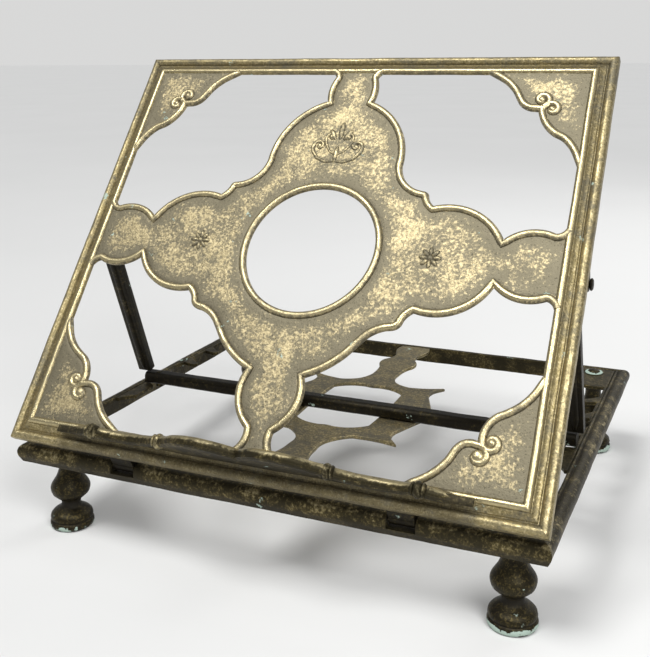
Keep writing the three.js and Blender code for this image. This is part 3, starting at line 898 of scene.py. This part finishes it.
def raised(bm, name, centre, size):
    for v in bm.verts:
        v.co.z *= 0.7
    bmesh.ops.transform(bm, matrix=Matrix.Translation(centre) @ Matrix.Scale(size, 4), verts=bm.verts)
    foot = centre.z
    # worn on top, and darkened at the foot by dirt with painted shade
    paint(bm, lambda co, n: {
        "wear": 0.2 + 0.8 * ramp(co.z, foot, foot + 0.9), "grime_and_shade": 1 - ramp(co.z, foot - 0.1, foot + 0.5),
    })
    piece(bm, name, DESK, "desk", "aged_panel", ())


# ---- the desk's moulded frame ----
FRAME_SECTION = (  # inward, up, bow of the way on, wear, grime: dirt with painted shade, high in the coves
    (0.3, 9.3, 0, 0.2, 0.4),
    (0, 9.8, 0, 0.3, 0.2),
    (0, 13.4, 0.85, 0.68, 0.0),
    (5.3, 14.6, 0, 0.1, 0.9),
    (5.6, 14.2, 0, 0.1, 1.0),
    (6.1, 14.3, 0, 0.15, 0.6),
    (6.6, 14.9, -0.16, 0.5, 0.2),
    (9.3, 16.7, 0, 0.25, 0.3),
    (9.7, 16.9, 0, 0.2, 0.9),
    (9.9, 16.7, 0, 0.1, 1.0),
    (10.2, 17.1, 0.62, 1.1, 0.1),
    (14.0, 17.1, 0, 0.5, 0.4),
    (14.0, 15.3, 0, 0.1, 0.7),
    (12.0, 14.7, 0, 0.1, 0.6),
    (7.0, 9.3, 0, 0.2, 0.5),
)


class STAND_OT_desk_frame(bpy.types.Operator):
    """Builds the desk's four mitred rails"""

    bl_idname = "stand.desk_frame"
    bl_label = "Desk Frame"

    def execute(self, context):
        for name, length, place in sides_of(("bottom", "right", "top", "left"), DESK_WIDTH, DESK_HEIGHT):
            bm = fresh()
            moulding(bm, profile_of(FRAME_SECTION), length, mitre=MITRE_GAP)
            bmesh.ops.transform(bm, matrix=place, verts=bm.verts)
            uneven(bm)
            if name == "bottom":
                # the ledge's painted shadow on the bottom rail
                paint_ledge_shadow(bm)
            piece(bm, f"frame_rail_{name}", DESK, "desk", "aged_frame", (f"desk_{name}_rail",), 38)
        return {"FINISHED"}


def paint_ledge_shadow(bm):
    """Painted shadow of the ledge: the bottom rail is darker over and under the ledge, and less bare there."""
    grime_and_shade, wear = layer(bm, "grime_and_shade"), layer(bm, "wear")
    for v in bm.verts:
        under = 1 - ramp(abs(v.co.x), LEDGE_LENGTH / 2 - 2, LEDGE_LENGTH / 2 + 10)
        v[grime_and_shade] = max(v[grime_and_shade], (0.45 + 0.5 * under) * (1 - ramp(v.co.y, DESK_RAIL - 5, DESK_RAIL - 3)))
        v[wear] *= 1 - 0.25 * under


# ---- the ledge ----
class STAND_OT_ledge(bpy.types.Operator):
    """Builds the book ledge with its rolled front, ring knobs and leaf tips"""

    bl_idname = "stand.ledge"
    bl_label = "Book Ledge"

    def execute(self, context):
        rim = context.scene.stand_sizes.ledge_rim / MM
        top = LEDGE_UP + LEDGE_THICKNESS
        loop = rims("desk_ledge", DESK, top, "y")[0]  # in (z, x)
        root = min(p.x for p in loop)
        outline = refined(loop, True, 1.0)
        bm = fresh()
        sunk(
            bm, [spaced(outline, True, 0.7)], 0.5, LEDGE_THICKNESS - 0.5,
            rounding(0.45, 2, 0.5, 0.1)[:2], rounding(0.45, 2, 0.3, 0.1)[:2],
        )
        # darker where the ledge meets the panel: dirt with painted shade; worn lighter toward its front
        paint(bm, lambda co, n: {
            "grime_and_shade": 0.75 * (1 - ramp(co.x, root + 4, root + 11)), "wear": 0.15 + 0.5 * ramp(co.x, root + 6, root + 14),
        })
        n = len(outline)
        first = next(i for i in range(n) if outline[i].x <= root + 1.5 and outline[(i + 1) % n].x > root + 1.5)
        front = []
        for k in range(1, n):
            p = outline[(first + k) % n]
            if p.x <= root + 1.5:
                break
            front.append(p)
        way = moved_in(front, False, rim - 0.4)
        level = LEDGE_THICKNESS / 2 + 0.4
        made = tube(bm, [Vector((p.x, p.y, level)) for p in way], rim, swell=leafed)
        # painted shade on the roll's underside, with some dirt; worn on its upper and front faces
        paint(bm, lambda co, n: {
            "wear": 0.55 + 0.6 * ramp(n.z + 0.5 * n.x, 0.0, 1.0), "grime_and_shade": 0.5 * (1 - ramp(n.z, -0.8, 0.2)),
        }, made)
        for spot in (-97, -50, 50, 97):
            near = min(way, key=lambda p: abs(p.y - spot))
            knob(bm, near, level, rim)
        into = Matrix(((0, 1, 0, 0), (0, 0, 1, LEDGE_UP), (1, 0, 0, 0), (0, 0, 0, 1)))
        bmesh.ops.transform(bm, matrix=into, verts=bm.verts)
        uneven(bm)
        piece(bm, "ledge", DESK, "desk", "aged_ledge", ("desk_ledge",))
        return {"FINISHED"}


def leafed(t):
    """The roll thins to a leaf tip at each end."""
    return 0.45 + 0.55 * ramp(min(t, 1 - t), 0.0, 0.05)


def knob(bm, spot, height, rim):
    """A ring round the ledge's roll, between two thin collars."""
    for shift, radius, width in ((0, rim + 1.3, 1.7), (-2.9, rim + 0.55, 0.85), (2.9, rim + 0.55, 0.85)):
        made = ball(bm, 28, 16)
        for v in made:
            along = spot.y + shift + v.co.z * width * 1.6
            v.co = Vector((spot.x + v.co.x * radius, along, height + v.co.y * radius))
        # worn all over, with painted shade on the ring's underside
        paint(bm, lambda co, n: {"wear": 0.95, "grime_and_shade": 0.5 * ramp(-n.z, 0.2, 0.9)}, made)


# ---- the base ----
# The base rails' section: inward, up, bow, wear, grime. The lower outer face carries painted shade with dirt, and the
# roll's top is worn lighter
BASE_SECTION = (
    (2.2, 44.7, 0, 0.1, 0.9),
    (0.9, 47.4, 0.1, 0.1, 0.85),
    (0, 50.4, 0.5, 0.85, 0.15),
    (6.0, 56.2, 0, 0.85, 0.3),
    (6.5, 55.7, 0, 0.1, 1.0),
    (6.9, 55.8, 0, 0.1, 0.9),
    (7.3, 56.6, 0.3, 0.75, 0.2),
    (8.8, 56.7, 0, 0.6, 0.1),
    (9.0, 56.4, 0, 0.4, 0.3),
    (9.0, 54.3, 0, 0.1, 0.6),
    (8.2, 54.3, 0, 0.1, 0.7),
    (6.2, 44.7, 0, 0.2, 0.6),
)


class STAND_OT_base_rails(bpy.types.Operator):
    """Builds the base's four mitred rails and the front one's hinge gaps"""

    bl_idname = "stand.base_rails"
    bl_label = "Base Rails"

    def execute(self, context):
        gaps = [(side * HINGE_SPACING / 2, HINGE_GAP) for _, side in SIDES]
        floor = BASE_TOP - HINGE_DROP - LUG_RADIUS - LUG_CLEARANCE
        for name, length, place in sides_of(("front", "right", "rear", "left"), BASE_WIDTH, BASE_DEPTH):
            bm = fresh()
            if name == "front":
                notched_moulding(bm, profile_of(BASE_SECTION), length, gaps, floor, MITRE_GAP)
            else:
                moulding(bm, profile_of(BASE_SECTION), length, mitre=MITRE_GAP)
            bmesh.ops.transform(bm, matrix=place, verts=bm.verts)
            uneven(bm)
            piece(bm, f"edge_rail_{name}", BASE, "base", "aged_base", (f"base_{name}_rail",), 38)
        return {"FINISHED"}


def notched_moulding(bm, section, length, gaps, floor, mitre, pitch=2.0):
    """A mitred rail along X with gaps open at the top: each gap is a middle and a width, cut down to a floor."""
    ring = []
    for (p, wear, grime_and_shade), (q, next_wear, next_grime_and_shade) in zip(section, section[1:] + section[:1]):
        ring.append((p.x, p.y, wear, grime_and_shade))
        if (p.y - floor) * (q.y - floor) < 0:
            t = (floor - p.y) / (q.y - p.y)
            met = wear + (next_wear - wear) * t, grime_and_shade + (next_grime_and_shade - grime_and_shade) * t
            ring.append((p.x + (q.x - p.x) * t, floor, *met))
    n = len(ring)
    low = [z <= floor + 1e-9 for _, z, _, _ in ring]
    ends = [k for k in range(n) if low[k] and not (low[k - 1] and low[(k + 1) % n])]
    if len(ends) != 2:
        raise RuntimeError("the gap's floor must cross the rail's section twice")
    first = next(k for k in ends if not low[(k + 1) % n])
    upper = [(first + i) % n for i in range((ends[1 - ends.index(first)] - first) % n + 1)]
    marks = [-length / 2, *sorted(m + way * width / 2 for m, width in gaps for way in (-1, 1)), length / 2]
    places = []
    for start, end in zip(marks, marks[1:]):
        count = max(1, round((end - start) / pitch))
        places += [start + (end - start) * i / count for i in range(count)]
    places.append(length / 2)
    free = HINGE_SPACING / 2 + HINGE_GAP
    rows = []
    for x in places:
        hollow = any(abs(x - m) < width / 2 - 1e-6 for m, width in gaps)
        row = []
        for k, (y, z, wear, grime_and_shade) in enumerate(ring):
            if hollow and not low[k]:
                row.append(None)
                continue
            slant = (length / 2 - y - mitre - free) / (length / 2 - free)
            along = x if abs(x) < free else math.copysign(free + (abs(x) - free) * slant, x)
            v = bm.verts.new((along, y, z))
            # In the hinge gaps the rail is dark and unworn: dirt with painted shade where the lug sits between its
            # walls
            near = z >= floor - 1e-9 and any(abs(x - m) < width / 2 + 1e-6 for m, width in gaps)
            v[layer(bm, "wear")], v[layer(bm, "grime_and_shade")] = (0.1, 0.8) if near else (wear, grime_and_shade)
            row.append(v)
        rows.append(row)
    for i, (one, two) in enumerate(zip(rows, rows[1:])):
        middle = (places[i] + places[i + 1]) / 2
        hollow = any(abs(middle - m) < width / 2 for m, width in gaps)
        for k in range(n):
            j = (k + 1) % n
            if not hollow or (low[k] and low[j]):
                bm.faces.new((one[k], one[j], two[j], two[k]))
        if hollow:
            bm.faces.new((one[upper[0]], one[upper[-1]], two[upper[-1]], two[upper[0]]))
    for row, x in zip(rows, places):
        if any(abs(abs(x - m) - width / 2) < 1e-6 for m, width in gaps):
            bm.faces.new([row[k] for k in upper])
    bm.faces.new(rows[0])
    bm.faces.new(rows[-1])
    bmesh.ops.recalc_face_normals(bm, faces=bm.faces)


def flat_casting(name, node, material, wear, pitch=1.0, thinnest=None):
    """One of the base's flat castings, with soft edges, which stay well inside its thinnest strip."""
    radius = bpy.context.scene.stand_sizes.edge_round / MM
    under = 0.5
    if thinnest:
        radius, under = min(radius, thinnest / 6), min(under, thinnest / 6)
    loops = [spaced(refined(loop, True, pitch), True, 2.0 * radius) for loop in rims(node, BASE, BASE_TOP)]
    bm = fresh()
    sunk(
        bm, loops, BASE_TOP - BASE_PLATE + under, BASE_TOP - radius,
        rounding(radius, 3, wear, 0.15), rounding(under, 2, 0.2),
    )
    piece(bm, name, BASE, "base", material, (node,))


class STAND_OT_base_plates(bpy.types.Operator):
    """Builds the base's tracery, its corner pads and the two racks"""

    bl_idname = "stand.base_plates"
    bl_label = "Base Plates"

    def execute(self, context):
        flat_casting("tracery", "base_tracery", "aged_tracery", 0.8)
        for name, _ in SIDES:
            flat_casting(f"hooked_rack_{name}", f"rack_{name}", "aged_base", 0.8, 0.8, RACK_SPINE)
            for end in ("front", "rear"):
                flat_casting(f"pad_{end}_{name}", f"base_pad_{end}_{name}", "aged_base", 0.7)
        return {"FINISHED"}


def base_spot(node):
    """The middle of a CAD node in the base's own frame, and its corners in the scene."""
    low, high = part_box(node)
    return BASE.inverted() @ ((low + high) / 2), low, high


FOOT_PROFILE = (  # radius, height, wear, grime (dirt with painted shade in the hollows), green
    (0, 0.0, 0, 0.8), (11.6, 0.0, 0.2, 0.6), (12.6, 0.6, 0.6, 0, 0.22), (13.2, 1.7, 0.7, 0, 0.26),
    (13.2, 3.2, 0.8, 0, 0.22), (12.7, 4.2, 0.5, 0.3, 0.05), (12.1, 4.7, 0.1, 1.0), (12.3, 5.2, 0.3, 0.4),
    (12.8, 6.4, 0.6), (12.4, 8.2, 0.5), (11.0, 9.8, 0.3, 0.2), (8.6, 11.3, 0.1, 0.4), (6.5, 12.6, 0.1, 0.8),
    (5.8, 14.2, 0.1, 1.0), (5.8, 15.8, 0.1, 1.0), (6.4, 17.2, 0.1, 0.8), (8.4, 18.8, 0.3, 0.3),
    (10.8, 21.0, 0.6), (11.8, 23.8, 0.85), (11.9, 25.6, 0.9), (11.4, 27.2, 0.7), (10.2, 29.2, 0.4, 0.1),
    (8.4, 32.0, 0.3, 0.2), (7.0, 35.2, 0.2, 0.3), (6.0, 39.0, 0.2, 0.4), (5.5, 43.0, 0.2, 0.6),
    (5.6, 46.0, 0.1, 0.9), (6.0, 54.0, 0, 1.0), (0, 54.0, 0, 1.0),
)


class STAND_OT_feet(bpy.types.Operator):
    """Builds the four turned feet and the domed screws that hold them"""

    bl_idname = "stand.feet"
    bl_label = "Feet and Screws"

    def execute(self, context):
        for end in ("front", "rear"):
            for name, _ in SIDES:
                centre = base_spot(f"foot_{end}_{name}")[0]
                spot = Vector((centre.x, centre.y, 0))
                bm = fresh()
                turned(bm, FOOT_PROFILE, spot, 0.8)
                uneven(bm, 0.12, level=True)
                foot, screw = f"foot_{end}_{name}", f"foot_screw_{end}_{name}"
                piece(bm, f"turned_{foot}", BASE, "base", "aged_foot", (foot,), 60)
                bm = fresh()
                z = BASE_TOP + 0.3
                turned(
                    bm,
                    (
                        (0, z, 0, 1), (6.0, z, 0, 0.9, 0.3), (6.2, z + 0.25, 0.2, 0.4, 0.34),
                        (5.9, z + 0.7, 0.4, 0.2, 0.3), (4.7, z + 0.8, 0.1, 0.9, 0.25), (4.3, z + 1.1, 0.5, 0.3, 0.1),
                        (3.6, z + 1.9, 0.9), (2.0, z + 2.4, 1), (0, z + 2.5, 1),
                    ),
                    spot, 0.5, 48,
                )
                piece(bm, f"domed_screw_{end}_{name}", BASE, "base", "aged_foot", (screw,), 60)
        return {"FINISHED"}


# ---- hinges ----
def rounded_cad(node, place, width, segments):
    """A CAD casting's own shape in its own frame, merged, with its edges rounded."""
    bm = fresh()
    bm.from_mesh(NODES[node].data)
    bmesh.ops.transform(bm, matrix=place.inverted(), verts=bm.verts)
    bmesh.ops.remove_doubles(bm, verts=bm.verts, dist=0.005)
    bmesh.ops.dissolve_limit(bm, angle_limit=math.radians(1), verts=bm.verts, edges=bm.edges)
    bm.normal_update()
    crisp = [e for e in bm.edges if len(e.link_faces) == 2 and e.calc_face_angle(0) > math.radians(35)]
    bmesh.ops.bevel(
        bm, geom=crisp, offset=width, offset_type="OFFSET", affect="EDGES", segments=segments, profile=0.5,
        material=-1, clamp_overlap=True,
    )
    return bm


def softened(name, node, width):
    """One of the desk's lugs, worn along its edges."""
    bm = rounded_cad(node, DESK, width, 2)
    bm.normal_update()
    for v in bm.verts:
        sides = [e.calc_face_angle(0) for e in v.link_edges if len(e.link_faces) == 2]
        v[layer(bm, "wear")] = 0.75 * ramp(max(sides, default=0), 0.3, 0.9)
        v[layer(bm, "grime_and_shade")] = 0.45
    piece(bm, name, DESK, "desk", "aged_strut", (node,), 40)


class STAND_OT_hinges(bpy.types.Operator):
    """Builds the hinge lugs with their pins and the strut's ears"""

    bl_idname = "stand.hinges"
    bl_label = "Hinges"

    def execute(self, context):
        for name, _ in SIDES:
            softened(f"lug_{name}", f"hinge_lug_{name}", 0.45)
            softened(f"ear_{name}", f"strut_lug_{name}", 0.3)
            centre, low, high = base_spot(f"hinge_pin_{name}")
            reach = (high.x - low.x) / MM / 2
            bm = fresh()
            turned(
                bm,
                (
                    (0, -reach, 0.6), (1.7, -reach, 0.6), (2, -reach + 0.3, 0.7), (2, 0, 0.3),
                    (2, reach - 0.3, 0.7), (1.7, reach, 0.6), (0, reach, 0.6),
                ),
                centre, 1.0, 32, (1, 0, 0),
            )
            piece(bm, f"pin_{name}", BASE, "base", "aged_strut", (f"hinge_pin_{name}",))
        return {"FINISHED"}


# ---- the strut ----
# The strut's foot bar section: across, up, bow, wear, grime; darkest on its underside, with dirt and painted shade
BAR_SECTION = (
    (-5, -2.8, 0, 0.3, 0.5),
    (-5, 1.4, 0.3, 0.75, 0.0),
    (-2, 3.8, 0, 0.8, 0.0),
    (3, 3.8, 0.41, 0.7, 0.0),
    (5, 1.8, 0, 0.4, 0.2),
    (5, -2.8, 0, 0.2, 0.6),
    (3.8, -3.8, 0, 0.1, 0.8),
    (-3.8, -3.8, 0, 0.1, 0.8),
)


class STAND_OT_strut(bpy.types.Operator):
    """Builds the strut's legs, foot bar, pivots and pegs"""

    bl_idname = "stand.strut"
    bl_label = "Strut"

    def execute(self, context):
        level = STRUT @ Matrix.Translation((0, 0, -STRUT_LENGTH)) @ Matrix.Rotation(-STRUT_LEAN, 4, "X")
        bm = fresh()
        moulding(bm, profile_of(BAR_SECTION), BAR_LENGTH)
        uneven(bm)
        piece(bm, "foot_bar", level, "strut", "aged_strut", ("strut_bar",), 40)
        for name, side in SIDES:
            leg(name)
            centre, low, high = base_spot(f"strut_peg_{name}")
            half = (high.z - low.z) / MM / 2
            bm = fresh()
            turned(
                bm,
                (
                    (0, -half, 0.3), (1.9, -half, 0.5), (2.5, -half + 0.6, 0.6), (2.5, half - 0.5, 0.6),
                    (2.0, half, 0.9), (0, half + 0.2, 0.9),
                ),
                centre, 0.6, 32,
            )
            piece(bm, f"peg_{name}", BASE, "strut", "aged_foot", (f"strut_peg_{name}",))
            low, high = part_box(f"strut_pivot_{name}")
            inner, outer = sorted((low.x / MM * side, high.x / MM * side))
            bm = fresh()
            turned(
                bm,
                (
                    (0, inner, 0.3), (2, inner, 0.3), (2, outer - 1.6, 0.3, 0.8), (3.1, outer - 1.6, 0.2, 0.7),
                    (3.4, outer - 1.3, 0.5), (3.4, outer - 0.7, 0.7), (2.6, outer - 0.15, 0.9), (0, outer, 1.0),
                ),
                Vector((0, 0, 0)), 0.5, 36, (side, 0, 0),
            )
            piece(bm, f"pivot_{name}", STRUT, "strut", "aged_strut", (f"strut_pivot_{name}",))
        return {"FINISHED"}


def leg(name):
    """One leg: the CAD leg with soft edges and a moulded ridge down its front and its outer face."""
    node = f"strut_leg_{name}"
    bm = rounded_cad(node, STRUT, 0.9, 3)
    paint(bm, lambda co, n: {"grime_and_shade": 0.35, "wear": 0.3})
    x = sum(v.co.x for v in bm.verts) / len(bm.verts)
    low = min(v.co.z for v in bm.verts)
    for face_y in (-3.0, 3.0):
        spots = [Vector((x, face_y, -6 + (low + 8) * k / 40)) for k in range(41)]
        made = tube(bm, spots, 2.3, swell=lambda t: 0.35 + 0.65 * ramp(min(t, 1 - t), 0, 0.08))
        for v in made:
            v.co.y = face_y + (v.co.y - face_y) * 0.42
        # worn on the ridge's crest, and darkened at its sides by dirt with painted shade
        paint(bm, lambda co, n: {"wear": 0.55 + 0.4 * abs(n.y), "grime_and_shade": 0.5 * (1 - abs(n.y))}, made)
    uneven(bm)
    piece(bm, f"leg_{name}", STRUT, "strut", "aged_strut", (node,), 40)


# ---- the stage ----
class STAND_OT_stage(bpy.types.Operator):
    """Builds the pale floor, the studio lights, the world and the camera"""

    bl_idname = "stand.stage"
    bl_label = "Stage"

    def execute(self, context):
        scene, tints = context.scene, context.scene.stand_colours
        bm = bmesh.new()
        bmesh.ops.create_grid(bm, x_segments=8, y_segments=8, size=scene.stand_sizes.floor_size / 2)
        mesh = bpy.data.meshes.new("floor")
        bm.to_mesh(mesh)
        bm.free()
        floor = bpy.data.objects.new("floor", mesh)
        scene.collection.objects.link(floor)
        s = Shader("floor_paper")
        s.place = s.add("ShaderNodeTexCoord").outputs["Object"]
        shader = s.add("ShaderNodeBsdfPrincipled")
        soft = s.noise(3, 3, 0.5)
        shade = [c * 0.94 for c in tints.floor]
        s.put(shader.inputs["Base Color"], s.mix(soft, tints.floor, shade))
        shader.inputs["Roughness"].default_value = 0.85
        shader.inputs["Specular IOR Level"].default_value = 0.2
        s.put(s.add("ShaderNodeOutputMaterial").inputs["Surface"], shader.outputs["BSDF"])
        mesh.materials.append(s.material)

        world = bpy.data.worlds.new("studio")
        scene.world = world
        world.use_nodes = True
        tree = world.node_tree
        background = tree.nodes["Background"]
        background.inputs["Color"].default_value = (*tints.world, 1)
        background.inputs["Strength"].default_value = 0.42
        seen = tree.nodes.new("ShaderNodeBackground")
        seen.inputs["Color"].default_value = (*tints.horizon, 1)
        ray, either = tree.nodes.new("ShaderNodeLightPath"), tree.nodes.new("ShaderNodeMixShader")
        tree.links.new(ray.outputs["Is Camera Ray"], either.inputs["Fac"])
        tree.links.new(background.outputs[0], either.inputs[1])
        tree.links.new(seen.outputs[0], either.inputs[2])
        tree.links.new(either.outputs[0], tree.nodes["World Output"].inputs["Surface"])

        sun = bpy.data.lights.new("daylight", "SUN")
        sun.energy, sun.angle = 1.9, math.radians(24)
        lamps = [("daylight", sun, (-0.25, -0.45, 1.2))]
        for name, place, size, power in (("key", (0.75, -0.75, 0.95), 0.6, 9.0), ("rear", (0.5, 1.1, 0.9), 0.8, 4.0)):
            lamp = bpy.data.lights.new(name, "AREA")
            lamp.shape, lamp.size, lamp.energy = "DISK", size, power
            lamps.append((name, lamp, place))
        for name, lamp, place in lamps:
            ob = bpy.data.objects.new(name, lamp)
            scene.collection.objects.link(ob)
            ob.location = place
            ob.rotation_euler = (Vector((0, 0, 0.12)) - Vector(place)).to_track_quat("-Z", "Y").to_euler()

        data = bpy.data.cameras.new("camera")
        data.lens, data.sensor_width = 53.82, 36.0
        data.shift_x, data.shift_y = 0.0, -0.1606
        data.clip_start, data.clip_end = 0.02, 30
        camera = bpy.data.objects.new("camera", data)
        scene.collection.objects.link(camera)
        ahead = Vector((-0.404, 0.8976, -0.1762)).normalized()
        right = Vector((0.9127, 0.4085, -0.0116))
        right = (right - ahead * right.dot(ahead)).normalized()
        up = right.cross(ahead)
        turn = Matrix((right, up, -ahead)).transposed().to_4x4()
        camera.matrix_world = Matrix.Translation((0.2402, -0.5618, 0.2893)) @ turn
        scene.camera = camera
        scene.view_settings.view_transform = "Standard"
        return {"FINISHED"}


OPERATORS = (
    STAND_OT_stage,
    STAND_OT_panel,
    STAND_OT_ornaments,
    STAND_OT_desk_frame,
    STAND_OT_ledge,
    STAND_OT_base_rails,
    STAND_OT_base_plates,
    STAND_OT_feet,
    STAND_OT_hinges,
    STAND_OT_strut,
)


class STAND_PT_sidebar(bpy.types.Panel):
    """Lists the stand's sizes, its colours and the pieces it is built from"""

    bl_idname = "STAND_PT_sidebar"
    bl_label = "Album Stand"
    bl_space_type = "VIEW_3D"
    bl_region_type = "UI"
    bl_category = "Album Stand"

    def draw(self, context):
        for group in (context.scene.stand_sizes, context.scene.stand_colours):
            column = self.layout.column(align=True)
            for key in group.__annotations__:
                column.prop(group, key)
        column = self.layout.column(align=True)
        for operator in OPERATORS:
            column.operator(operator.bl_idname)


CLASSES = (StandSizes, StandColours, *OPERATORS, STAND_PT_sidebar)


def register():
    for cls in CLASSES:
        bpy.utils.register_class(cls)
    bpy.types.Scene.stand_sizes = PointerProperty(type=StandSizes)
    bpy.types.Scene.stand_colours = PointerProperty(type=StandColours)


def unregister():
    del bpy.types.Scene.stand_colours
    del bpy.types.Scene.stand_sizes
    for cls in reversed(CLASSES):
        bpy.utils.unregister_class(cls)


def main():
    register()
    bpy.ops.stand.stage()
    bpy.ops.stand.panel()
    bpy.ops.stand.ornaments()
    bpy.ops.stand.desk_frame()
    bpy.ops.stand.ledge()
    bpy.ops.stand.base_rails()
    bpy.ops.stand.base_plates()
    bpy.ops.stand.feet()
    bpy.ops.stand.hinges()
    bpy.ops.stand.strut()


if __name__ == "__main__":
    main()
